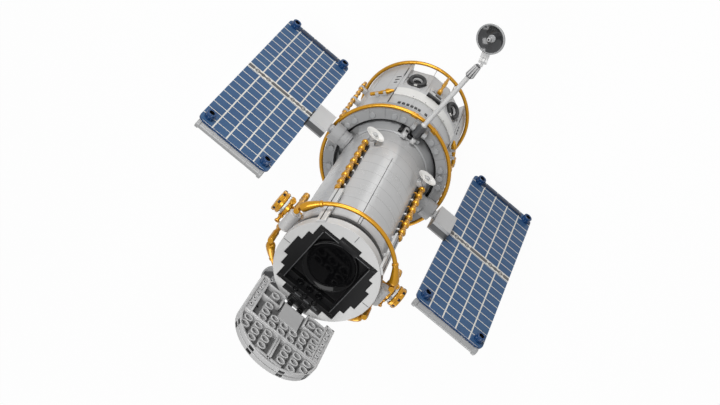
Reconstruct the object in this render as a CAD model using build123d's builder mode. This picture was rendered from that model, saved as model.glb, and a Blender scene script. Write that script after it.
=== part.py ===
"""Brick-built display model of an orbiting space telescope, standing on its aft end.

Millimetres. Z runs along the tube from the aft face (z = 0) to the open front,
X runs along the solar array arms and Y along the two antenna booms.
"""
from math import atan2, cos, degrees, hypot, radians, sin

import os

from build123d import *

os.makedirs("parts", exist_ok=True)

# Grid of the bricks, common pegs and common clearances
STUD = 8.0
PLATE = 3.2
STUD_R = 2.4
ROD_R = 1.6
PIN_R = 1.5
RUN_GAP = 0.1
SEAT_GAP = 0.2
SWING_GAP = 0.4
PEG_SIDES = 6
ROD_SIDES = 8
WHEEL_SIDES = 20
RING_SIDES = 36
OCTAGON_CUT = 0.586

# Light shield tube, groove and front collar
FRONT_Z = 320.0
TUBE_R = 35.2
TUBE_WALL = 3.2
COLLAR_STEP = 1.8
COLLAR_R = TUBE_R + COLLAR_STEP
COLLAR_H = 8.0
GROOVE_STEP = 1.6
GROOVE_R = TUBE_R - GROOVE_STEP
GROOVE_H = 9.0
GROOVE_FLOOR = 3.0
TUBE_TOP = FRONT_Z - COLLAR_H - GROOVE_H

# Aperture frame, well and black mirror
FRAME_EDGE = 1.9
FRAME_CORNER = 43.15
FRAME_X = 2 * (COLLAR_R - FRAME_EDGE) * sin(radians(FRAME_CORNER))
FRAME_Y = 2 * (COLLAR_R - FRAME_EDGE) * cos(radians(FRAME_CORNER))
FRAME_STEP = 3.2
FRAME_LONG_STEP = 4 * STUD
FRAME_SHORT_STEP = 2 * STUD
FRAME_H = 6.4
FRAME_RIM_X = 4.5
FRAME_RIM_Y = 2.6
WELL_X = FRAME_X - 2 * FRAME_RIM_X
WELL_Y = FRAME_Y - 2 * FRAME_RIM_Y
WELL_WALL = 1.6
WELL_FLOOR = 2.0
WELL_Z = TUBE_TOP + GROOVE_FLOOR
MIRROR_R = WELL_X / 2 - SEAT_GAP
MIRROR_H = 3.0
MIRROR_RIM = 1.0
MIRROR_SUNK = 0.8

# Equipment section with its sunk deck
DECK_GAP = 6.8
DECK_WIDTH = 8.4
EQUIP_INNER_R = TUBE_R + DECK_GAP
EQUIP_R = EQUIP_INNER_R + DECK_WIDTH
SHROUD_TOP = 118.0
EQUIP_H = 16.0
EQUIP_TOP = SHROUD_TOP + EQUIP_H
EQUIP_STEP = 4.0
BAY_COUNT = 12
SEAM_WIDTH = 0.8
SEAM_DEPTH = 0.5

# Aft shroud with three slanted facets on the +Y side
SHROUD_STEP = 4.4
SHROUD_R = EQUIP_R - SHROUD_STEP
SHROUD_WALL = 12.0
SHROUD_CAP = 3.2
SHROUD_SEAMS = (42.4, 74.0, 106.0, 137.6)
FACET_ANGLES = (64.0, 90.0, 116.0)
FACET_SPAN = 26.0
FACET_TOP = 60.0
FACET_CUT = 7.7
FACET_RISE = 6.5
FACET_R = SHROUD_R - FACET_CUT
FACET_WIDTH = 2 * (FACET_R + FACET_RISE) * sin(radians(FACET_SPAN / 2))
BULKHEAD_Z = 3.2
BULKHEAD_H = 8.0
STAND_BORE_R = 2.45

# Wheels laid on the outer facets, lever on the middle one and the white band
WHEEL_Z = 40.0
WHEEL_TILT = 25.0
TYRE_R = 7.8
TYRE_WIDTH = 4.6
TYRE_HOLE_R = 4.2
POCKET_GAP = 0.8
POCKET_DEPTH = 2.8
LEVER_Z = 50.0
LEVER_LENGTH = 24.0
LEVER_LEAN = 14.0
BAND_Z = 70.0
BAND_WIDTH = 2 * STUD
BAND_H = 1.0
BAND_SPAN = 82.0

# Gold hoses and hand rails
HOSE_GAP = 0.5
EQUIP_HOSE_DROP = 2.0
EQUIP_HOSE_R = EQUIP_R + ROD_R + HOSE_GAP
AFT_HOSE_R = SHROUD_R + ROD_R + HOSE_GAP
AFT_HOSE_Z = 4.0
FRONT_HOSE_STAND = 8.8
FRONT_HOSE_DROP = 14.0
FRONT_HOSE_R = TUBE_R + FRONT_HOSE_STAND
FRONT_HOSE_Z = FRONT_Z - FRONT_HOSE_DROP
FRONT_HOSE_SPAN = 90.0
HOSE_SAG = 20.0
FITTING_R = 2.8
HAND_RAIL_ANGLE = 52.0
HAND_RAIL_Z = 87.0
HAND_RAIL_STAND = 2.9
HAND_RAIL_LENGTH = 20.8
SIDE_RAIL_STAND = 7.2
SIDE_RAIL_Z = 22.0
SIDE_RAIL_LENGTH = 90.0
CLIP = 4.0

# Valve clusters and grey drums beside the collar
CLUSTER_DROP = 36.0
CLUSTER_Z = FRONT_Z - CLUSTER_DROP
CLUSTER_STAND = 9.0
CLUSTER_STEM_R = 3.0
CLUSTER_LAYERS = ((6.4, 3.2), (7.2, 2.0), (8.0, 5.6))
CLUSTER_WINDOW = 4.0
ELBOW_ANGLE = 20.0
ELBOW_R = 2.4
DRUM_R = 4.4
DRUM_LENGTH = 2 * STUD
DRUM_DROP = 23.0

# Bead rails, flat rails and small white dishes on the tube
RAIL_ANGLE = 46.8
RAIL_START_Z = 176.0
RAIL_PITCH = 13.0
RAIL_BEADS = 7
RAIL_BEAD_R = 2.7
RAIL_STAND = 3.4
FLAT_RAIL_ANGLE = 43.0
FLAT_RAIL_H = 1.6
FLAT_RAIL_WIDTH = 6.4
SMALL_DISH_ANGLE = 37.0
SMALL_DISH_Z = 171.0
SMALL_DISH_R = 8.0
SMALL_DISH_H = 2.6
SMALL_DISH_STAND = 7.8
SMALL_DISH_REACH = TUBE_R + SMALL_DISH_STAND

# Solar arrays
ARM_RISE = 6.0
ARM_Z = EQUIP_TOP + ARM_RISE
ARRAY_TURN = 8.2
HUB_R = 8.0
HUB_NECK_R = 6.8
HUB_OVER = 1.2
HUB_START = TUBE_R + SWING_GAP
HUB_END = EQUIP_R + HUB_OVER
AXLE_R = 2.4
AXLE_COLLAR_R = 3.7
BOX_START = HUB_END + PLATE + 2 * SEAT_GAP
BOX_X = 16.0
BOX_Y = 12.0
BOX_Z = 16.0
TILE_H = 2.8
CHEEK_Z = 8.0
CHEEK_CHAMFER = 4.0
PANEL_START = BOX_START + BOX_X
PANEL_WIDTH = 64.0
PANEL_LENGTH = 192.0
PANEL_H = 1.6
PANEL_CORNER = 5.0
PANEL_DROP = 4.5
BAR_WIDTH = 7.0
BAR_H = 0.4
POST_R = 3.8
POST_HOLE_R = 2.2
POST_H = 6.4
POST_INSET = 6.0
STRIP_WIDTH = 4.0
STRIP_H = 1.2
ROLLER_R = 2.0
ROLLER_KNOB_R = 2.8
ROLLER_KNOB = 2.0
ROLLER_LENGTH = 60.8
ROLLER_DROP = 4.4

# Antenna booms, each station a length from the fold axis
BOOM_Y = EQUIP_INNER_R + DECK_WIDTH / 2
BOOM_RISE = 7.0
BOOM_Z = EQUIP_TOP + BOOM_RISE
KNUCKLE_R = 2.4
KNUCKLE_WIDTH = 7.6
LUG_WIDTH = 3.2
SOCKET_BACK = 4.6
SOCKET_FRONT = 6.4
SOCKET_END = BOOM_Y + SOCKET_FRONT
SOCKET_R = 3.8
SOCKET_TIP_R = 2.9
POLE_R = 2.0
POLE_LENGTH = 66.4
POLE_END = SOCKET_END + POLE_LENGTH
CONE_R = 3.4
CONE_LENGTH = 12.0
TILT_STAND = 5.0
TILT_Y = POLE_END + TILT_STAND
TILT_R = 2.6
TILT_LUG = 2.4
TILT_WIDTH = 6.4
DISH_SWING = 20.0
DISH_LEAN = 18.0
DISH_NECK = 6.6
DISH_R = 11.6
DISH_DEPTH = 3.2
DISH_WALL = 1.2
DISH_RIM = 1.2
DISH_FLOOR_R = 3.0
DISH_BACK_R = 6.0
FEED_R = 1.0
FEED_H = 6.4

# Aperture door, opened from its closed place over the front
DOOR_OPEN = 90.0
DOOR_DROP = 8.0
DOOR_GAP = 0.5
DOOR_WIDTH = 61.6
DOOR_BACK = 3.6
DOOR_STRAIGHT = 40.4
DOOR_H = 6.4
DOOR_RIM = 2.4
DOOR_NOTCH = 28.8
DOOR_NOTCH_END = 7.8
DOOR_BARREL_R = 2.4
DOOR_ARM_WIDTH = 2 * STUD
DOOR_ARM_LENGTH = 20.0
DOOR_ARM_SAG = 0.9
DOOR_LUG = 3.6
DOOR_POCKET = 2.4
DOOR_TUBE_R = 2.6
DOOR_PEG_R = 1.3
DOOR_STRIP_WIDTH = 4.6
DOOR_WEB = 1.6
DOOR_RIDGE_Y = 42.4
DOOR_STEP = 5.0
HINGE_Y = -COLLAR_R
HINGE_Z = FRONT_Z + DOOR_DROP + DOOR_GAP
DOOR_R = DOOR_WIDTH / 2

SIDES = (("left", -1), ("right", 1))
ENDS = (("top", 1), ("bottom", -1))
BASE = (Align.CENTER, Align.CENTER, Align.MIN)


def save(name, part):
    """Label a finished piece and write it as its own file."""
    part.label = name
    export_step(part, f"parts/{name}.step")


def frame_outline(grow):
    """Stepped outline of the aperture frame, grown by a clearance."""
    Rectangle(FRAME_X + 2 * grow, FRAME_Y + 2 * grow)
    Rectangle(FRAME_X + 2 * FRAME_STEP + 2 * grow, FRAME_LONG_STEP + 2 * grow)
    Rectangle(FRAME_X + 4 * FRAME_STEP + 2 * grow, FRAME_SHORT_STEP + 2 * grow)
    Rectangle(FRAME_SHORT_STEP + 2 * grow, FRAME_Y + 2 * FRAME_STEP + 2 * grow)


def well_outline(grow):
    """Outside of the aperture well, grown by a clearance."""
    Rectangle(WELL_X + 2 * WELL_WALL + 2 * grow, WELL_Y + 2 * WELL_WALL + 2 * grow)


def spoke_plane(angle, radius, z):
    """Plane on the tube's side: local x runs forward and the normal points out along the angle."""
    out = (cos(radians(angle)), sin(radians(angle)), 0)
    return Plane(origin=(radius * out[0], radius * out[1], z), x_dir=(0, 0, 1), z_dir=out)


def facet_plane(angle, z):
    """Plane on a slanted facet of the shroud: local x runs round it and the normal points out."""
    slope = atan2(FACET_RISE, FACET_TOP)
    radius = FACET_R + FACET_RISE * z / FACET_TOP
    turn = radians(angle)
    out = (cos(turn) * cos(slope), sin(turn) * cos(slope), -sin(slope))
    foot = (radius * cos(turn), radius * sin(turn), z)
    return Plane(origin=foot, x_dir=(-sin(turn), cos(turn), 0), z_dir=out)


def wheel_plane(angle):
    """Floor of a wheel's pocket: the facet's plane, sunk and tipped forward."""
    facet = facet_plane(angle, WHEEL_Z)
    floor = facet.offset(-POCKET_DEPTH)
    tip = radians(WHEEL_TILT)
    normal = facet.z_dir * cos(tip) + facet.y_dir * sin(tip)
    return Plane(origin=floor.origin, x_dir=facet.x_dir, z_dir=normal)


def tilt_plane(sign, along=0.0):
    """Plane across a dish's tilt axis: local x runs out along the dish's neck and local y forward."""
    swing = radians(DISH_SWING)
    out = (-sin(swing), sign * cos(swing), 0)
    return Plane(origin=(along * out[0], sign * TILT_Y + along * out[1], BOOM_Z), x_dir=out,
                 z_dir=(sign * cos(swing), sin(swing), 0))


def array_plane(x, lift=0.0):
    """Plane of a solar panel's face: local x runs along the arm, local y aft, the normal up."""
    turn = radians(ARRAY_TURN)
    up = (0, cos(turn), sin(turn))
    return Plane(origin=(x, lift * up[1], ARM_Z + lift * up[2]), x_dir=(1, 0, 0), z_dir=up)


def door_plane(lift=0.0):
    """Plane of the door through its hinge axis: local y runs away from the hinge."""
    turn = radians(DOOR_OPEN)
    out = (0, -sin(turn), cos(turn))
    return Plane(origin=(0, HINGE_Y + lift * out[1], HINGE_Z + lift * out[2]), x_dir=(1, 0, 0), z_dir=out)


def hose_ring(radius, z, thick):
    """Ring of an eight-sided hose in short straight runs."""
    with BuildPart() as ring:
        with BuildSketch(Plane.XY.offset(z - thick)):
            RegularPolygon(radius + thick, RING_SIDES)
            RegularPolygon(radius - thick, RING_SIDES, mode=Mode.SUBTRACT)
        extrude(amount=2 * thick)
        chamfer(ring.edges().filter_by(Axis.Z, reverse=True), OCTAGON_CUT * thick)
    return ring.part


def hose_arc(radius, z, thick, start, end):
    """Stretch of a hose ring between two angles of less than half a turn."""
    with BuildPart() as arc:
        add(hose_ring(radius, z, thick))
        with BuildSketch(Plane.XY.offset(z - thick)):
            with BuildLine():
                reach = 2 * radius
                turns = [radians(a) for a in (start, (start + end) / 2, end)]
                corners = [(reach * cos(a), reach * sin(a)) for a in turns]
                Polyline((0, 0), *corners, close=True)
            make_face()
        extrude(amount=2 * thick, mode=Mode.INTERSECT)
    return arc.part


# Aft shroud: a thick shell with slanted facets, wheel pockets and long seams
with BuildPart() as shroud:
    Cylinder(SHROUD_R, SHROUD_TOP, align=BASE)
    Cylinder(SHROUD_R - SHROUD_WALL, SHROUD_TOP - SHROUD_CAP, align=BASE, mode=Mode.SUBTRACT)
    for angle in FACET_ANGLES:
        wedge = Plane(origin=(0, 0, 0), x_dir=(cos(radians(angle)), sin(radians(angle)), 0),
                      z_dir=(sin(radians(angle)), -cos(radians(angle)), 0))
        with BuildSketch(wedge):
            with BuildLine():
                Polyline((FACET_R, 0), (FACET_R + FACET_RISE, FACET_TOP), (2 * SHROUD_R, FACET_TOP),
                         (2 * SHROUD_R, 0), close=True)
            make_face()
        extrude(amount=FACET_WIDTH / 2, both=True, mode=Mode.SUBTRACT)
    for angle in (FACET_ANGLES[0], FACET_ANGLES[-1]):
        with BuildSketch(wheel_plane(angle)):
            RegularPolygon(TYRE_R + POCKET_GAP, WHEEL_SIDES)
        extrude(amount=2 * TYRE_WIDTH, mode=Mode.SUBTRACT)
    for offset in SHROUD_SEAMS:
        for angle in (90 - offset, 90 + offset):
            with BuildSketch(spoke_plane(angle, SHROUD_R - SEAM_DEPTH, SHROUD_TOP / 2)):
                Rectangle(SHROUD_TOP, SEAM_WIDTH)
            extrude(amount=2 * SEAM_DEPTH, mode=Mode.SUBTRACT)
save("aft_shroud", shroud.part)

# Aft bulkhead with the bore of a display stand
with BuildPart() as bulkhead:
    with BuildSketch(Plane.XY.offset(BULKHEAD_Z)):
        RegularPolygon(SHROUD_R - SHROUD_WALL - SEAT_GAP, RING_SIDES)
        Circle(STAND_BORE_R, mode=Mode.SUBTRACT)
    extrude(amount=BULKHEAD_H)
save("aft_bulkhead", bulkhead.part)

# White band round the +Y side of the shroud
with BuildPart() as band:
    with BuildSketch(Plane.XZ.rotated((0, 0, 90 - BAND_SPAN / 2))):
        with Locations((SHROUD_R + SEAT_GAP + BAND_H / 2, BAND_Z + BAND_WIDTH / 2)):
            Rectangle(BAND_H, BAND_WIDTH)
    revolve(axis=Axis.Z, revolution_arc=BAND_SPAN)
save("shroud_band", band.part)

# Wheels laid in the pockets of the outer facets
with BuildPart() as tyres:
    for angle in (FACET_ANGLES[0], FACET_ANGLES[-1]):
        with BuildSketch(wheel_plane(angle)):
            RegularPolygon(TYRE_R, WHEEL_SIDES)
            RegularPolygon(TYRE_HOLE_R, WHEEL_SIDES, mode=Mode.SUBTRACT)
        extrude(amount=TYRE_WIDTH)
save("bay_tyres", tyres.part)

with BuildPart() as hubs:
    for angle in (FACET_ANGLES[0], FACET_ANGLES[-1]):
        with BuildSketch(wheel_plane(angle)):
            RegularPolygon(TYRE_HOLE_R - SEAT_GAP, WHEEL_SIDES)
        extrude(amount=TYRE_WIDTH / 2)
save("bay_hubs", hubs.part)

# Grey block on the middle facet and the gold lever that leans aft from it
lever_seat = facet_plane(FACET_ANGLES[1], LEVER_Z)
with BuildPart() as lever_base:
    with BuildSketch(lever_seat):
        Rectangle(STUD, STUD)
    extrude(amount=PLATE)
save("aft_lever_base", lever_base.part)

with BuildPart() as lever:
    root = lever_seat.offset(PLATE).origin
    lean = radians(LEVER_LEAN)
    along = Plane(origin=root, x_dir=(1, 0, 0), z_dir=(0, sin(lean), -cos(lean)))
    with BuildSketch(lever_seat.offset(PLATE)):
        RegularPolygon(STUD_R, ROD_SIDES)
    extrude(amount=PLATE)
    with BuildSketch(along.shift_origin(along.from_local_coords((0, -STUD_R, 0)))):
        RegularPolygon(ROD_R, ROD_SIDES)
    extrude(amount=LEVER_LENGTH)
save("aft_lever", lever.part)

# Equipment section: a ring of bays round a sunk forward deck
with BuildPart() as equipment:
    with Locations((0, 0, SHROUD_TOP)):
        Cylinder(EQUIP_R, EQUIP_H, align=BASE)
    with Locations((0, 0, EQUIP_TOP - EQUIP_STEP)):
        Cylinder(EQUIP_INNER_R, EQUIP_STEP, align=BASE, mode=Mode.SUBTRACT)
    with PolarLocations(EQUIP_R, BAY_COUNT, start_angle=180 / BAY_COUNT):
        with Locations((0, 0, SHROUD_TOP)):
            Box(2 * SEAM_DEPTH, SEAM_WIDTH, EQUIP_H - PLATE, align=BASE, mode=Mode.SUBTRACT)
save("equipment_section", equipment.part)

# Light shield tube
with BuildPart() as tube:
    with Locations((0, 0, EQUIP_TOP - EQUIP_STEP)):
        Cylinder(TUBE_R, TUBE_TOP - EQUIP_TOP + EQUIP_STEP, align=BASE)
        Cylinder(TUBE_R - TUBE_WALL, TUBE_TOP - EQUIP_TOP + EQUIP_STEP, align=BASE, mode=Mode.SUBTRACT)
save("light_shield_tube", tube.part)

# Dark groove ring between the tube and the collar, with the pocket of the well
with BuildPart() as groove:
    with Locations((0, 0, TUBE_TOP)):
        Cylinder(GROOVE_R, GROOVE_H, align=BASE)
    with BuildSketch(Plane.XY.offset(WELL_Z)):
        well_outline(SEAT_GAP)
    extrude(amount=GROOVE_H, mode=Mode.SUBTRACT)
save("groove_ring", groove.part)

# Front collar with the stepped seat of the frame
with BuildPart() as collar:
    with Locations((0, 0, FRONT_Z - COLLAR_H)):
        Cylinder(COLLAR_R, COLLAR_H, align=BASE)
    with BuildSketch(Plane.XY.offset(FRONT_Z - COLLAR_H)):
        well_outline(SEAT_GAP)
    extrude(amount=COLLAR_H, mode=Mode.SUBTRACT)
    with BuildSketch(Plane.XY.offset(FRONT_Z - FRAME_H)):
        frame_outline(SEAT_GAP)
    extrude(amount=FRAME_H, mode=Mode.SUBTRACT)
save("front_collar", collar.part)

# Black stepped frame of the aperture
with BuildPart() as aperture:
    with BuildSketch(Plane.XY.offset(FRONT_Z - FRAME_H)):
        frame_outline(0)
        Rectangle(WELL_X, WELL_Y, mode=Mode.SUBTRACT)
    extrude(amount=FRAME_H)
save("aperture_frame", aperture.part)

# Black well behind the frame, with a ledge along its -Y side
with BuildPart() as well:
    with BuildSketch(Plane.XY.offset(WELL_Z)):
        well_outline(0)
    extrude(amount=FRONT_Z - FRAME_H - WELL_Z)
    with BuildSketch(Plane.XY.offset(WELL_Z + WELL_FLOOR)):
        Rectangle(WELL_X, WELL_Y)
    extrude(amount=FRONT_Z, mode=Mode.SUBTRACT)
    with BuildSketch(Plane.XY.offset(WELL_Z)):
        with Locations((0, -(MIRROR_R + WELL_Y / 2 + WELL_WALL + SEAT_GAP) / 2)):
            Rectangle(WELL_X, WELL_Y / 2 + WELL_WALL - MIRROR_R - SEAT_GAP)
    extrude(amount=FRONT_Z - FRAME_H - WELL_Z)
save("aperture_well", well.part)

# Black mirror with a raised rim on the floor of the well
with BuildPart() as mirror:
    with BuildSketch(Plane.XY.offset(WELL_Z + WELL_FLOOR)):
        RegularPolygon(MIRROR_R, RING_SIDES)
    extrude(amount=MIRROR_H)
    with BuildSketch(Plane.XY.offset(WELL_Z + WELL_FLOOR + MIRROR_H)):
        RegularPolygon(MIRROR_R - MIRROR_RIM, RING_SIDES)
    extrude(amount=-MIRROR_SUNK, mode=Mode.SUBTRACT)
save("mirror_dish", mirror.part)

# Hinge base of the door: a foot on the collar with two lugs and the pin
with BuildPart() as hinge_base:
    lug_span = DOOR_ARM_WIDTH + 2 * RUN_GAP
    base_width = lug_span + 2 * DOOR_LUG
    foot_y = HINGE_Y + DOOR_NOTCH_END - SWING_GAP
    with BuildSketch(Plane.XY.offset(FRONT_Z)):
        with Locations((0, (HINGE_Y - DOOR_BARREL_R + foot_y) / 2)):
            Rectangle(base_width, foot_y - HINGE_Y + DOOR_BARREL_R)
    extrude(amount=HINGE_Z - FRONT_Z - DOOR_BARREL_R - SWING_GAP)
    with BuildSketch(Plane.YZ.offset(-base_width / 2)):
        with Locations((HINGE_Y, HINGE_Z)):
            Circle(DOOR_BARREL_R)
        with Locations((HINGE_Y, (FRONT_Z + HINGE_Z) / 2)):
            Rectangle(2 * DOOR_BARREL_R, HINGE_Z - FRONT_Z)
    extrude(amount=base_width)
    with BuildSketch(Plane.YZ.offset(-lug_span / 2)):
        with Locations((HINGE_Y, HINGE_Z + DOOR_BARREL_R)):
            Rectangle(4 * DOOR_BARREL_R, 4 * DOOR_BARREL_R + 2 * SWING_GAP)
    extrude(amount=lug_span, mode=Mode.SUBTRACT)
    with BuildSketch(Plane.YZ.offset(-lug_span / 2)):
        with Locations((HINGE_Y, HINGE_Z)):
            Circle(PIN_R)
    extrude(amount=lug_span)
save("door_hinge_base", hinge_base.part)

# Door panel: a thick plate with sunk bays of pegs on its inner face
inside = DOOR_R - DOOR_RIM - SEAT_GAP
strip_x = inside - DOOR_WEB - DOOR_STRIP_WIDTH / 2
strip_start = DOOR_WEB - DOOR_BACK
strip_end = DOOR_RIDGE_Y - DOOR_WEB
core_x = strip_x - DOOR_STRIP_WIDTH / 2 - DOOR_WEB
core_start = DOOR_NOTCH_END + DOOR_STEP + DOOR_WEB
far_start = DOOR_RIDGE_Y + DOOR_WEB
far_r = inside - DOOR_WEB
with BuildPart() as door_panel:
    with BuildSketch(door_plane(-DOOR_DROP)):
        with Locations((0, (DOOR_STRAIGHT - DOOR_BACK) / 2)):
            Rectangle(2 * inside, DOOR_STRAIGHT + DOOR_BACK)
        with Locations((0, DOOR_STRAIGHT)):
            RegularPolygon(inside, 2 * RING_SIDES)
        with Locations((0, (DOOR_NOTCH_END - DOOR_BACK) / 2)):
            Rectangle(DOOR_NOTCH, DOOR_NOTCH_END + DOOR_BACK, mode=Mode.SUBTRACT)
        with Locations((0, (DOOR_STEP - DOOR_BACK) / 2)):
            Rectangle(2 * core_x, DOOR_STEP + DOOR_BACK, mode=Mode.SUBTRACT)
        with Locations((0, DOOR_ARM_LENGTH / 2)):
            Rectangle(DOOR_ARM_WIDTH + 2 * SEAT_GAP, DOOR_ARM_LENGTH + 2 * SEAT_GAP, mode=Mode.SUBTRACT)
    extrude(amount=DOOR_H)
    with BuildSketch(door_plane(-DOOR_DROP)):
        with Locations((0, DOOR_STRAIGHT)):
            RegularPolygon(far_r, 2 * RING_SIDES)
        with Locations((0, far_start - DOOR_R)):
            Rectangle(DOOR_WIDTH, 2 * DOOR_R, mode=Mode.SUBTRACT)
        with Locations((0, DOOR_STRAIGHT + DOOR_R)):
            Rectangle(2 * DOOR_WEB, 2 * DOOR_R, mode=Mode.SUBTRACT)
        with Locations((-strip_x, (strip_start + strip_end) / 2), (strip_x, (strip_start + strip_end) / 2)):
            Rectangle(DOOR_STRIP_WIDTH, strip_end - strip_start)
        with Locations((0, (core_start + strip_end) / 2)):
            Rectangle(2 * core_x, strip_end - core_start)
        with Locations((0, DOOR_ARM_LENGTH / 2)):
            Rectangle(DOOR_ARM_WIDTH + 2 * DOOR_WEB, DOOR_ARM_LENGTH + 2 * DOOR_WEB, mode=Mode.SUBTRACT)
    extrude(amount=DOOR_POCKET, mode=Mode.SUBTRACT)
    with BuildSketch(door_plane(-DOOR_DROP)):
        arm_edge = DOOR_ARM_WIDTH / 2 + DOOR_WEB + DOOR_TUBE_R
        near = [(column * STUD, strip_end - STUD / 2 - row * STUD)
                for column in (-2, -1, 0, 1, 2) for row in range(3)]
        spots = [(x, y) for x, y in near if abs(x) > arm_edge or y > DOOR_ARM_LENGTH + DOOR_WEB + DOOR_TUBE_R]
        far = [(side * (STUD / 2 + DOOR_WEB + column * STUD), far_start + STUD / 2 + row * STUD)
               for side in (-1, 1) for column in range(3) for row in range(3)]
        spots += [(x, y) for x, y in far if hypot(x, y - DOOR_STRAIGHT) < far_r - DOOR_TUBE_R]
        with Locations(*spots):
            RegularPolygon(DOOR_TUBE_R, PEG_SIDES)
        pegs = [(side * strip_x, strip_end - STUD / 2 - row * STUD) for side in (-1, 1) for row in range(5)]
        with Locations(*pegs):
            RegularPolygon(DOOR_PEG_R, PEG_SIDES)
    extrude(amount=DOOR_POCKET)
save("door_panel", door_panel.part)

# Rim round the door
with BuildPart() as door_rim:
    with BuildSketch(door_plane(-DOOR_DROP)):
        with Locations((0, (DOOR_STRAIGHT - DOOR_BACK) / 2)):
            Rectangle(DOOR_WIDTH, DOOR_STRAIGHT + DOOR_BACK)
        with Locations((0, DOOR_STRAIGHT)):
            RegularPolygon(DOOR_R, 2 * RING_SIDES)
        with Locations((0, (DOOR_STRAIGHT - DOOR_BACK) / 2)):
            Rectangle(DOOR_WIDTH - 2 * DOOR_RIM, DOOR_STRAIGHT + DOOR_BACK, mode=Mode.SUBTRACT)
        with Locations((0, DOOR_STRAIGHT)):
            RegularPolygon(DOOR_R - DOOR_RIM, 2 * RING_SIDES, mode=Mode.SUBTRACT)
    extrude(amount=DOOR_H)
save("door_rim", door_rim.part)

# Hinge arm of the door: a barrel on the pin and a hollowed slope into the plate
with BuildPart() as door_arm:
    turn = radians(DOOR_OPEN)
    profile = Plane(origin=(-DOOR_ARM_WIDTH / 2, HINGE_Y, HINGE_Z), x_dir=(0, cos(turn), sin(turn)),
                    z_dir=(1, 0, 0))
    heel = DOOR_NOTCH_END + SWING_GAP
    with BuildSketch(profile):
        with BuildLine():
            Polyline((heel, -DOOR_BARREL_R), (0, -DOOR_BARREL_R), (0, DOOR_BARREL_R),
                     (DOOR_ARM_LENGTH, DOOR_H - DOOR_DROP), (DOOR_ARM_LENGTH, -DOOR_DROP))
            ThreePointArc((DOOR_ARM_LENGTH, -DOOR_DROP),
                          ((heel + DOOR_ARM_LENGTH) / 2, DOOR_ARM_SAG - (DOOR_BARREL_R + DOOR_DROP) / 2),
                          (heel, -DOOR_BARREL_R))
        make_face()
        Circle(DOOR_BARREL_R)
        Circle(PIN_R + RUN_GAP, mode=Mode.SUBTRACT)
    extrude(amount=DOOR_ARM_WIDTH)
save("door_arm", door_arm.part)

# Gold hose rings round the equipment section and the aft end
save("equipment_hose", hose_ring(EQUIP_HOSE_R, EQUIP_TOP - EQUIP_HOSE_DROP, ROD_R))
save("aft_hose", hose_ring(AFT_HOSE_R, AFT_HOSE_Z, ROD_R))

# Gold hose arches round the groove and their thicker fittings at the valve clusters
half_span = FRONT_HOSE_SPAN / 2
elbow_end = ELBOW_ANGLE + degrees((ELBOW_R + SEAT_GAP) / FRONT_HOSE_R)
elbow_y = FRONT_HOSE_R * sin(radians(ELBOW_ANGLE))
sag_axis = Axis(origin=(0, -elbow_y, FRONT_HOSE_Z), direction=(1, 0, 0))
with BuildPart() as front_hose:
    add(hose_arc(FRONT_HOSE_R, FRONT_HOSE_Z, ROD_R, 90 - half_span, 90 + half_span))
    lower = hose_arc(FRONT_HOSE_R, FRONT_HOSE_Z, ROD_R, 270 - half_span, 270 + half_span)
    add(lower.rotate(sag_axis, HOSE_SAG))
save("front_hose", front_hose.part)

with BuildPart() as fittings:
    sag_end = elbow_end + degrees(FITTING_R * sin(radians(HOSE_SAG)) / FRONT_HOSE_R)
    for start, end in ((elbow_end, 90 - half_span), (90 + half_span, 180 - elbow_end)):
        add(hose_arc(FRONT_HOSE_R, FRONT_HOSE_Z, FITTING_R, start, end))
    for start, end in ((180 + sag_end, 270 - half_span), (270 + half_span, 360 - sag_end)):
        add(hose_arc(FRONT_HOSE_R, FRONT_HOSE_Z, FITTING_R, start, end).rotate(sag_axis, HOSE_SAG))
save("hose_fittings", fittings.part)

# Hand rails across the shroud and along its sides, with their grey clips
clip_reach = CLIP / 2 + SEAT_GAP
with BuildPart() as hand_rails:
    for side, sign in SIDES:
        middle = spoke_plane(90 - sign * HAND_RAIL_ANGLE, SHROUD_R + HAND_RAIL_STAND, HAND_RAIL_Z)
        start = middle.from_local_coords((0, -HAND_RAIL_LENGTH / 2, 0))
        with BuildSketch(Plane(origin=start, x_dir=middle.x_dir, z_dir=middle.y_dir)):
            RegularPolygon(ROD_R, ROD_SIDES)
        extrude(amount=HAND_RAIL_LENGTH)
        with BuildSketch(Plane.XY.offset(SIDE_RAIL_Z)):
            with Locations((sign * (SHROUD_R + SIDE_RAIL_STAND), 0)):
                RegularPolygon(ROD_R, ROD_SIDES)
        extrude(amount=SIDE_RAIL_LENGTH)
save("hand_rails", hand_rails.part)

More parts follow.
